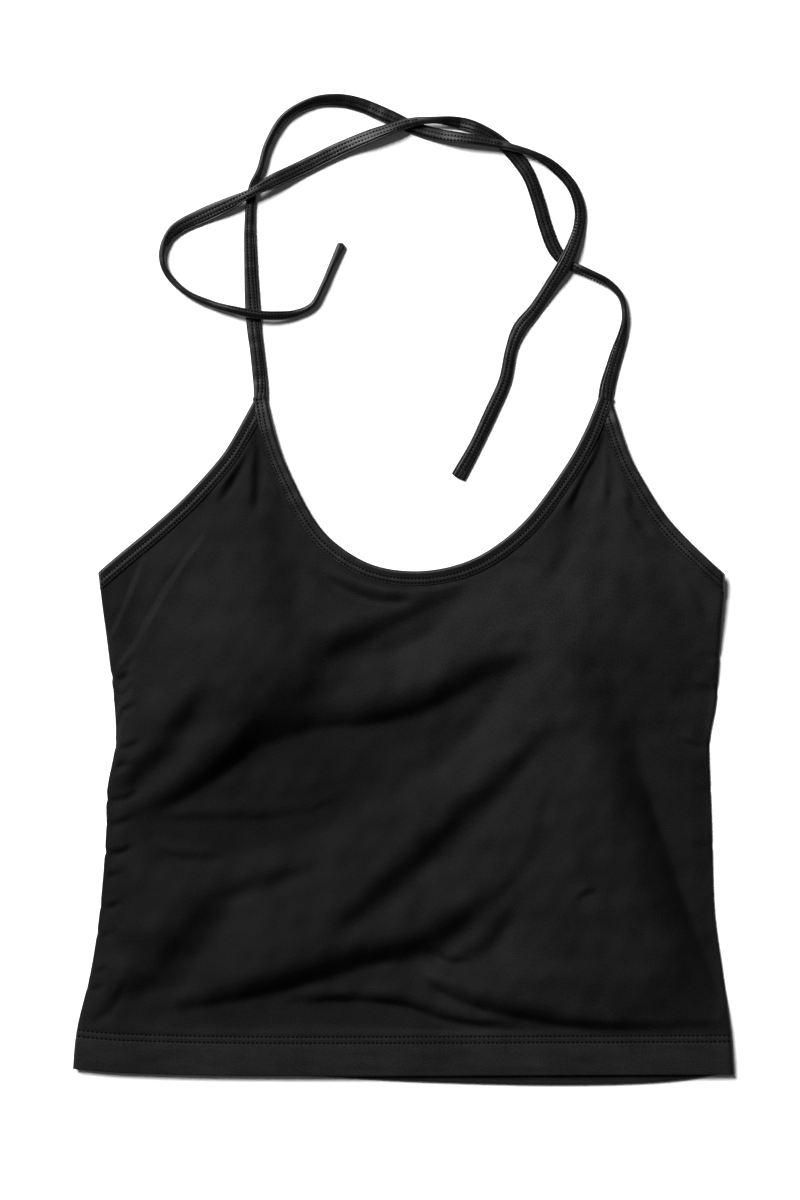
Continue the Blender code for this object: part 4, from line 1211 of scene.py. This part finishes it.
def hem_stitches(name, hem_line, level_at, up, sizes, colours):
    """Twin-needle stitches along a hem, where level_at gives their height at (x, y)."""
    left, right = side_edges(np.array(HEM_PLACE))
    start = np.arange(float(left) + HEM_THREAD_ENDS[0], float(right) - HEM_THREAD_ENDS[1], sizes.hem_pitch)

    def on_hem(row, at):
        """Points of a row of stitches at X."""
        y = read_line(hem_line, at) + (sizes.hem_row + row * sizes.hem_rows_apart)
        return np.column_stack((at, y, level_at(at, y)))

    starts, ends = stitch_ends(start, sizes.hem_pitch, on_hem, sizes)
    return stitch_rows(name, starts, ends, up, sizes, colours)


class HALTER_OT_front(Operator):
    """The creased front panel with its hem and stitches"""

    bl_idname = "halter.front"
    bl_label = "Make Front"

    def execute(self, context):
        sizes = context.scene.halter_sizes
        colours = context.scene.halter_colours
        left_end, right_end = SIDE_LINES[-1, 1:]
        left_side, between, right_side = (np.linspace(0.0, 1.0, count) for count in FRONT_COLUMNS)
        between = 0.6 * between + 0.2 * (1 - np.cos(math.pi * between))
        left_neck, right_neck = NECK_POINTS
        columns = np.concatenate((
            left_end + (left_neck - left_end) * left_side ** 1.15,
            left_neck + (right_neck - left_neck) * between[1:-1],
            right_neck + (right_end - right_neck) * (1 - right_side[::-1] ** 1.15),
        ))
        share = columns / np.where(columns < 0, -left_end, right_end)
        low = hem_fold(share, FRONT_HEM_LINE)
        heights = grid_heights(low, front_top(columns), *FRONT_ROWS)
        x = side_at(share[None, :], heights)
        outer = front_outer(x, heights, sizes)
        fold = fold_rows(share, low, BAND_HEIGHT + GAP - GAP / 2, outer[0])
        face = np.concatenate((fold, np.stack((x, heights, outer), axis=-1)))
        wall = np.full(face.shape[:2], -sizes.cloth)
        wall[face[..., 1] - low < HEM_DEPTH] = -FRONT_HEM_WALL
        wall[0] = wall[:, 0] = wall[:, -1] = -RIM_WALL
        front = shell("front_cloth", face, wall, [0, 4], jersey_finish(colours))
        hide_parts("front_panel")
        # paint light and shade into the front's black
        painted_light_and_shade(front)
        thread = hem_stitches(
            "front_hem_stitches", FRONT_HEM_LINE,
            lambda x, y: front_outer(x, y, sizes) + FRONT_THREAD_LIFT, 1, sizes, colours)
        return {"FINISHED"}


class HALTER_OT_back(Operator):
    """The back panel, flat on the floor, with its hem and stitches"""

    bl_idname = "halter.back"
    bl_label = "Make Back"

    def execute(self, context):
        sizes = context.scene.halter_sizes
        colours = context.scene.halter_colours
        share = np.linspace(-1.0, 1.0, BACK_COLUMNS)
        low = hem_fold(share, BACK_HEM_LINE)
        top = back_edge(side_at(share, CORNER)) - BAND_INSET
        heights = grid_heights(low, top, *BACK_ROWS)
        x = side_at(share[None, :], heights)
        hem_height = heights - low
        lifted = -crease_relief(x, heights, BACK_CREASES)
        lifted = lifted * smooth_step(hem_height, *BACK_CREASE_HEM)
        lifted = lifted * smooth_step(back_edge(x) - heights, *BACK_CREASE_TOP)
        aside = np.clip(side_distance(x, heights) / BACK_ROUND, 0.0, 1.0)
        rounded = 0.5 * MM * (1 - np.sqrt(1 - (1 - aside) ** 2))
        under = back_underside(x, heights) + lifted + 0.6 * row_dent(hem_height, sizes) + rounded
        centre = LAYER - GAP / 2
        fold = fold_rows(share, low, centre, under[0])
        face = np.concatenate((fold, np.stack((x, heights, under), axis=-1)))
        wall = np.full(face.shape[:2], sizes.cloth + 0.2 * MM)
        wall[face[..., 1] - low < HEM_DEPTH] = 2 * centre - RIM_WALL
        wall[:len(fold)] = np.maximum(RIM_WALL, 2 * (centre - fold[..., 2]))
        wall[:, 0] = wall[:, -1] = 2 * RIM_WALL
        back = shell("back_cloth", face, wall, [0, 1, 2, 3, 4], jersey_finish(colours),
                     downward=True)
        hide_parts("back_panel")
        # paint light and shade into the back's black
        painted_light_and_shade(back)
        thread = hem_stitches(
            "back_hem_stitches", BACK_HEM_LINE, lambda x, y: np.full(len(x), BACK_THREAD_LEVEL), -1,
            sizes, colours)
        return {"FINISHED"}


# ------------------------------------------------------------------ strips

STRIP_TOP = 30               # points over a strip's upper face
STRIP_GROOVES = (0.35, 0.7)  # depth of the groove at each row of stitches, as a share
STRIP_SPACING = 0.7 * MM     # from one section of a strip to the next
STRIP_THREAD_LIFT = 0.14 * MM
STRIP_GROOVE = 0.62 * MM     # half width of a groove
STRIP_FALL = (1.6 * MM, 5.2 * MM)    # the upper face falls from the outer roll to the first row
STRIP_INNER = (7.4 * MM, 9.0 * MM)   # and again to the inner edge
STRIP_ROLL = 3.4 * MM        # a strip rolls off over this much at a side edge
STRIP_SIDE_LEVEL = 3.75 * MM
BACK_SIDE_LEVEL = 3.7 * MM
BACK_STRIP_SPACING = 0.9 * MM
NECK_LIFT_UP = (180 * MM, 205 * MM)  # the neck strip stands 0.5 mm higher under the neck points
NECK_LIFT_DOWN = (211 * MM, 220 * MM)
NECK_SQUEEZE = (198 * MM, 219 * MM)  # and both kinds of strip are squeezed flatter there
ARMHOLE_SQUEEZE = (205 * MM, 214 * MM)
TIE_START = 220.4 * MM       # where the neck strip runs on as a tie


def strip_section():
    """Outline of the folded strip, a C that is open towards the panel: distance in from the
    outer edge, and height.  The first points run over the upper face, inner edge to outer."""
    half = BAND_HEIGHT / 2
    upper = np.linspace(BAND_WIDTH, half, STRIP_TOP)
    turn = np.radians(np.linspace(90.0, -90.0, 9)[1:-1])
    lower = np.linspace(half, BAND_WIDTH, 6)
    inward = np.concatenate((
        upper, half - half * np.cos(turn), lower,
        np.array((9.15, 9.15, 9.0, 5.0, 1.3, 1.3, 5.0, 9.0, 9.2, 9.25, 9.15)) * MM,
    ))
    height = np.concatenate((
        np.full(STRIP_TOP, BAND_HEIGHT), half + half * np.sin(turn), np.zeros(6),
        np.array((0.35, 0.95, 1.3, 1.3, 1.3, 2.3, 2.3, 2.3, 2.5, 2.9, 3.35)) * MM,
    ))
    return inward, height


def strip_dents(inward, along, rows, sizes):
    """How far the upper face of a strip is drawn down: it falls from the full outer roll to
    the first row, and has a groove at each row of stitches, deepest under the thread."""
    under_thread = 0.7 + 0.3 * np.cos(2 * math.pi * (along / sizes.pitch - sizes.bite / 2))
    dent = 0.55 * MM * smooth_step(inward, *STRIP_FALL)
    dent = dent + 0.25 * MM * smooth_step(inward, *STRIP_INNER)
    dent = dent + 0.05 * MM * uneven(along, 90, 11 * MM)
    for row, deep in zip(rows, STRIP_GROOVES):
        dent = dent + sizes.groove * deep * under_thread * np.exp(-((inward - row) / STRIP_GROOVE) ** 2)
    return dent


def trim(line, before, after):
    """Reads a line again at as many even places, between where two measures cross zero.
    Each measure has one value for each point; the line is kept where both are positive."""
    places = np.arange(len(line), dtype=float)
    kept = np.flatnonzero((before > 0) & (after > 0))
    first, last = kept[0], kept[-1]
    start = places[first]
    if first > 0:
        start = first - before[first] / (before[first] - before[first - 1])
    end = places[last]
    if last < len(line) - 1:
        end = last + after[last] / (after[last] - after[last + 1])
    wanted = np.linspace(start, end, len(line))
    return np.column_stack([np.interp(wanted, places, column) for column in line.T])


class StripShape:
    """A strip's line with what is worked out along it once: sides, lengths and levels."""

    def __init__(self, points, spacing, level, raised, squeezed, rows):
        self.line = smooth_line(in_metres(points), spacing)
        self.along = length_along(self.line)
        self.aside = right_of(self.line)
        self.base = level(self.line) + raised(self.line)
        self.tall = squeezed(self.line)
        self.rows = rows(self.line)

    def at(self, along, inward):
        """Place on the floor and level of the underside, at lengths along and in from the edge."""
        line = np.column_stack([np.interp(along, self.along, column) for column in self.line.T])
        aside = np.column_stack([np.interp(along, self.along, column) for column in self.aside.T])
        return line + aside * inward[:, None], np.interp(along, self.along, self.base)


def strip_rows_at(line, sizes, ends):
    """Distances of the two rows from the strip's outer edge; they shift outwards over the last
    stretch before each end that runs on as a tie."""
    first = np.full(len(line), sizes.strip_row)
    for end in ends:
        first = first - 1.1 * MM * smooth_step(line[:, 1], end - 26 * MM, end)
    return first, first + sizes.strip_rows_apart


def make_strip(name, shape, before, after, sides, sizes, colours, node):
    """A strip: its section carried along its outer edge, each of its lines trimmed where the
    measures before and after cross zero, and rolled off over the last stretch at the sides."""
    inward, height = strip_section()
    rings = []
    for number in range(len(inward)):
        offset = shape.line + shape.aside * inward[number]
        level = shape.base
        rise = np.full(len(level), height[number])
        if height[number] > 3.0 * MM and number < STRIP_TOP + 3:
            rise = rise - strip_dents(inward[number], shape.along, shape.rows, sizes)
        rise = rise * shape.tall
        full = np.column_stack((offset, level + rise))
        rings.append(trim(full, before(offset), after(offset)))
    rings = np.array(rings).transpose(1, 0, 2)
    for edge, outward, level in sides:
        depth = np.clip((edge - rings[..., 0]) * outward / STRIP_ROLL, 0.0, 1.0)
        rings[..., 2] = level + (rings[..., 2] - level) * np.sqrt(1 - (1 - np.maximum(depth, 0.001)) ** 2)
    along = np.linspace(0.0, shape.along[-1], len(rings))
    girth = round_outline(inward, height)
    strip = tube(name, rings[:, ::-1], along, girth, strip_finish(colours))
    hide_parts(node)


def strip_stitches(name, shape, keep, sizes, colours):
    """The two rows of stitches of a strip, where keep says that they show."""
    def on_strip(row, at):
        """Points of a row of stitches at lengths along the strip."""
        rows = [np.interp(at, shape.along, line) for line in shape.rows]
        place, base = shape.at(at, rows[row])
        rise = BAND_HEIGHT - strip_dents(rows[row], at, rows, sizes) + STRIP_THREAD_LIFT
        return np.column_stack((place, base + rise * np.interp(at, shape.along, shape.tall)))

    start = np.arange(0.0, shape.along[-1] - sizes.pitch, sizes.pitch)
    starts, ends = stitch_ends(start, sizes.pitch, on_strip, sizes)
    shown = keep(starts) & keep(ends)
    return stitch_rows(name, starts[shown], ends[shown], 1, sizes, colours)


class HALTER_OT_strips(Operator):
    """The folded strips round the armholes, the neckline and the top of the back"""

    bl_idname = "halter.strips"
    bl_label = "Make Strips"

    def execute(self, context):
        sizes = context.scene.halter_sizes
        colours = context.scene.halter_colours
        left_side, right_side = side_at(np.array([-1.0, 1.0]), CORNER)

        def on_stack(line):
            """Height of the layers under each point."""
            return stack_height(line[:, 0], line[:, 1])

        def none(line):
            """Zero at each point."""
            return np.zeros(len(line))

        def full(line):
            """One at each point."""
            return np.ones(len(line))

        neck_points = ((-86.6, 229.0), *NECKLINE, (127.2, 229.0))
        neck = StripShape(
            neck_points, STRIP_SPACING, on_stack,
            lambda line: 0.5 * MM * smooth_step(line[:, 1], *NECK_LIFT_UP)
            * (1 - smooth_step(line[:, 1], *NECK_LIFT_DOWN)),
            lambda line: 1 - 0.24 * smooth_step(line[:, 1], *NECK_SQUEEZE),
            lambda line: strip_rows_at(line, sizes, (TIE_START, )),
        )

        def below_ties(line):
            """How far each point is below the start of the ties."""
            return TIE_START - line[:, 1]

        make_strip("neck_strip", neck, below_ties, below_ties, (), sizes, colours, "neck_binding")
        strip_stitches("neck_strip_stitches", neck, lambda p: p[:, 1] < TIE_START, sizes, colours)

        for side, points, inner in (("left", LEFT_ARMHOLE, 1), ("right", RIGHT_ARMHOLE, -1)):
            end, earlier = (NECK_EDGE[0], NECK_EDGE[2]) if inner > 0 else (NECK_EDGE[-1], NECK_EDGE[-3])
            ahead = (end - earlier) / np.linalg.norm(end - earlier)
            aside = np.array((-ahead[1], ahead[0])) * inner
            corner = end + aside * (BAND_WIDTH - 0.6 * MM)
            edge = left_side if inner > 0 else right_side

            def beside_neck(line, corner=corner, aside=aside):
                """How far each point is on this side of the neck strip."""
                return (line[:, :2] - corner) @ aside

            def inside_side(line, inner=inner):
                """How far each point is in from this side edge."""
                return (line[:, 0] - side_lines(line[:, 1])[(1 - inner) // 2]) * inner

            shape = StripShape(
                points, STRIP_SPACING, on_stack, none,
                lambda line: 1 - 0.28 * smooth_step(line[:, 1], *ARMHOLE_SQUEEZE),
                lambda line: strip_rows_at(line, sizes, ()),
            )
            before, after = (inside_side, beside_neck) if inner > 0 else (beside_neck, inside_side)
            make_strip(f"armhole_strip_{side}", shape, before, after, ((edge, -inner, STRIP_SIDE_LEVEL), ),
                       sizes, colours, f"armhole_binding_{side}")
            strip_stitches(
                f"armhole_stitches_{side}", shape,
                lambda p, a=inside_side, b=beside_neck: (a(p) > 1.5 * MM) & (b(p) > 0.3 * MM),
                sizes, colours)

        x = np.linspace(left_side - BAND_WIDTH, right_side + BAND_WIDTH, 40)
        back = StripShape(
            np.column_stack((x, back_edge(x))) / MM, BACK_STRIP_SPACING, none, none, full,
            lambda line: strip_rows_at(line, sizes, ()),
        )
        sides = ((left_side, -1, BACK_SIDE_LEVEL), (right_side, 1, BACK_SIDE_LEVEL))
        make_strip(
            "back_strip", back, lambda p: p[:, 0] - side_lines(p[:, 1])[0] - 0.6 * MM,
            lambda p: side_lines(p[:, 1])[1] - p[:, 0] - 0.6 * MM, sides, sizes, colours, "back_binding")
        strip_stitches(
            "back_strip_stitches", back,
            lambda p: (p[:, 0] > left_side + 4 * MM) & (p[:, 0] < right_side - 4 * MM), sizes, colours)
        return {"FINISHED"}


# ------------------------------------------------------------------ panel and registration

class HALTER_PT_panel(Panel):
    """Lists the steps and the sizes of the halter neck top"""

    bl_idname = "HALTER_PT_panel"
    bl_label = "Halter Top"
    bl_space_type = "VIEW_3D"
    bl_region_type = "UI"
    bl_category = "Halter Top"

    def draw(self, context):
        layout = self.layout
        for step in STEPS:
            layout.operator(step.bl_idname)
        scene = context.scene
        for group in (scene.halter_sizes, scene.halter_colours, scene.halter_studio):
            box = layout.box()
            for name in group.__annotations__:
                box.prop(group, name)


STEPS = (HALTER_OT_stage, HALTER_OT_ties, HALTER_OT_back, HALTER_OT_front, HALTER_OT_strips)
CLASSES = (HalterSizes, HalterColours, HalterStudio, *STEPS, HALTER_PT_panel)


def register():
    """Add the classes, and the scene's groups of sizes and colours."""
    for cls in CLASSES:
        bpy.utils.register_class(cls)
    bpy.types.Scene.halter_sizes = PointerProperty(type=HalterSizes)
    bpy.types.Scene.halter_colours = PointerProperty(type=HalterColours)
    bpy.types.Scene.halter_studio = PointerProperty(type=HalterStudio)


def unregister():
    """Take them away again, last first."""
    del bpy.types.Scene.halter_studio
    del bpy.types.Scene.halter_colours
    del bpy.types.Scene.halter_sizes
    for cls in reversed(CLASSES):
        bpy.utils.unregister_class(cls)


def main():
    """Make every piece in turn."""
    register()
    bpy.ops.halter.stage()
    bpy.ops.halter.ties()
    bpy.ops.halter.back()
    bpy.ops.halter.front()
    bpy.ops.halter.strips()


if __name__ == "__main__":
    main()
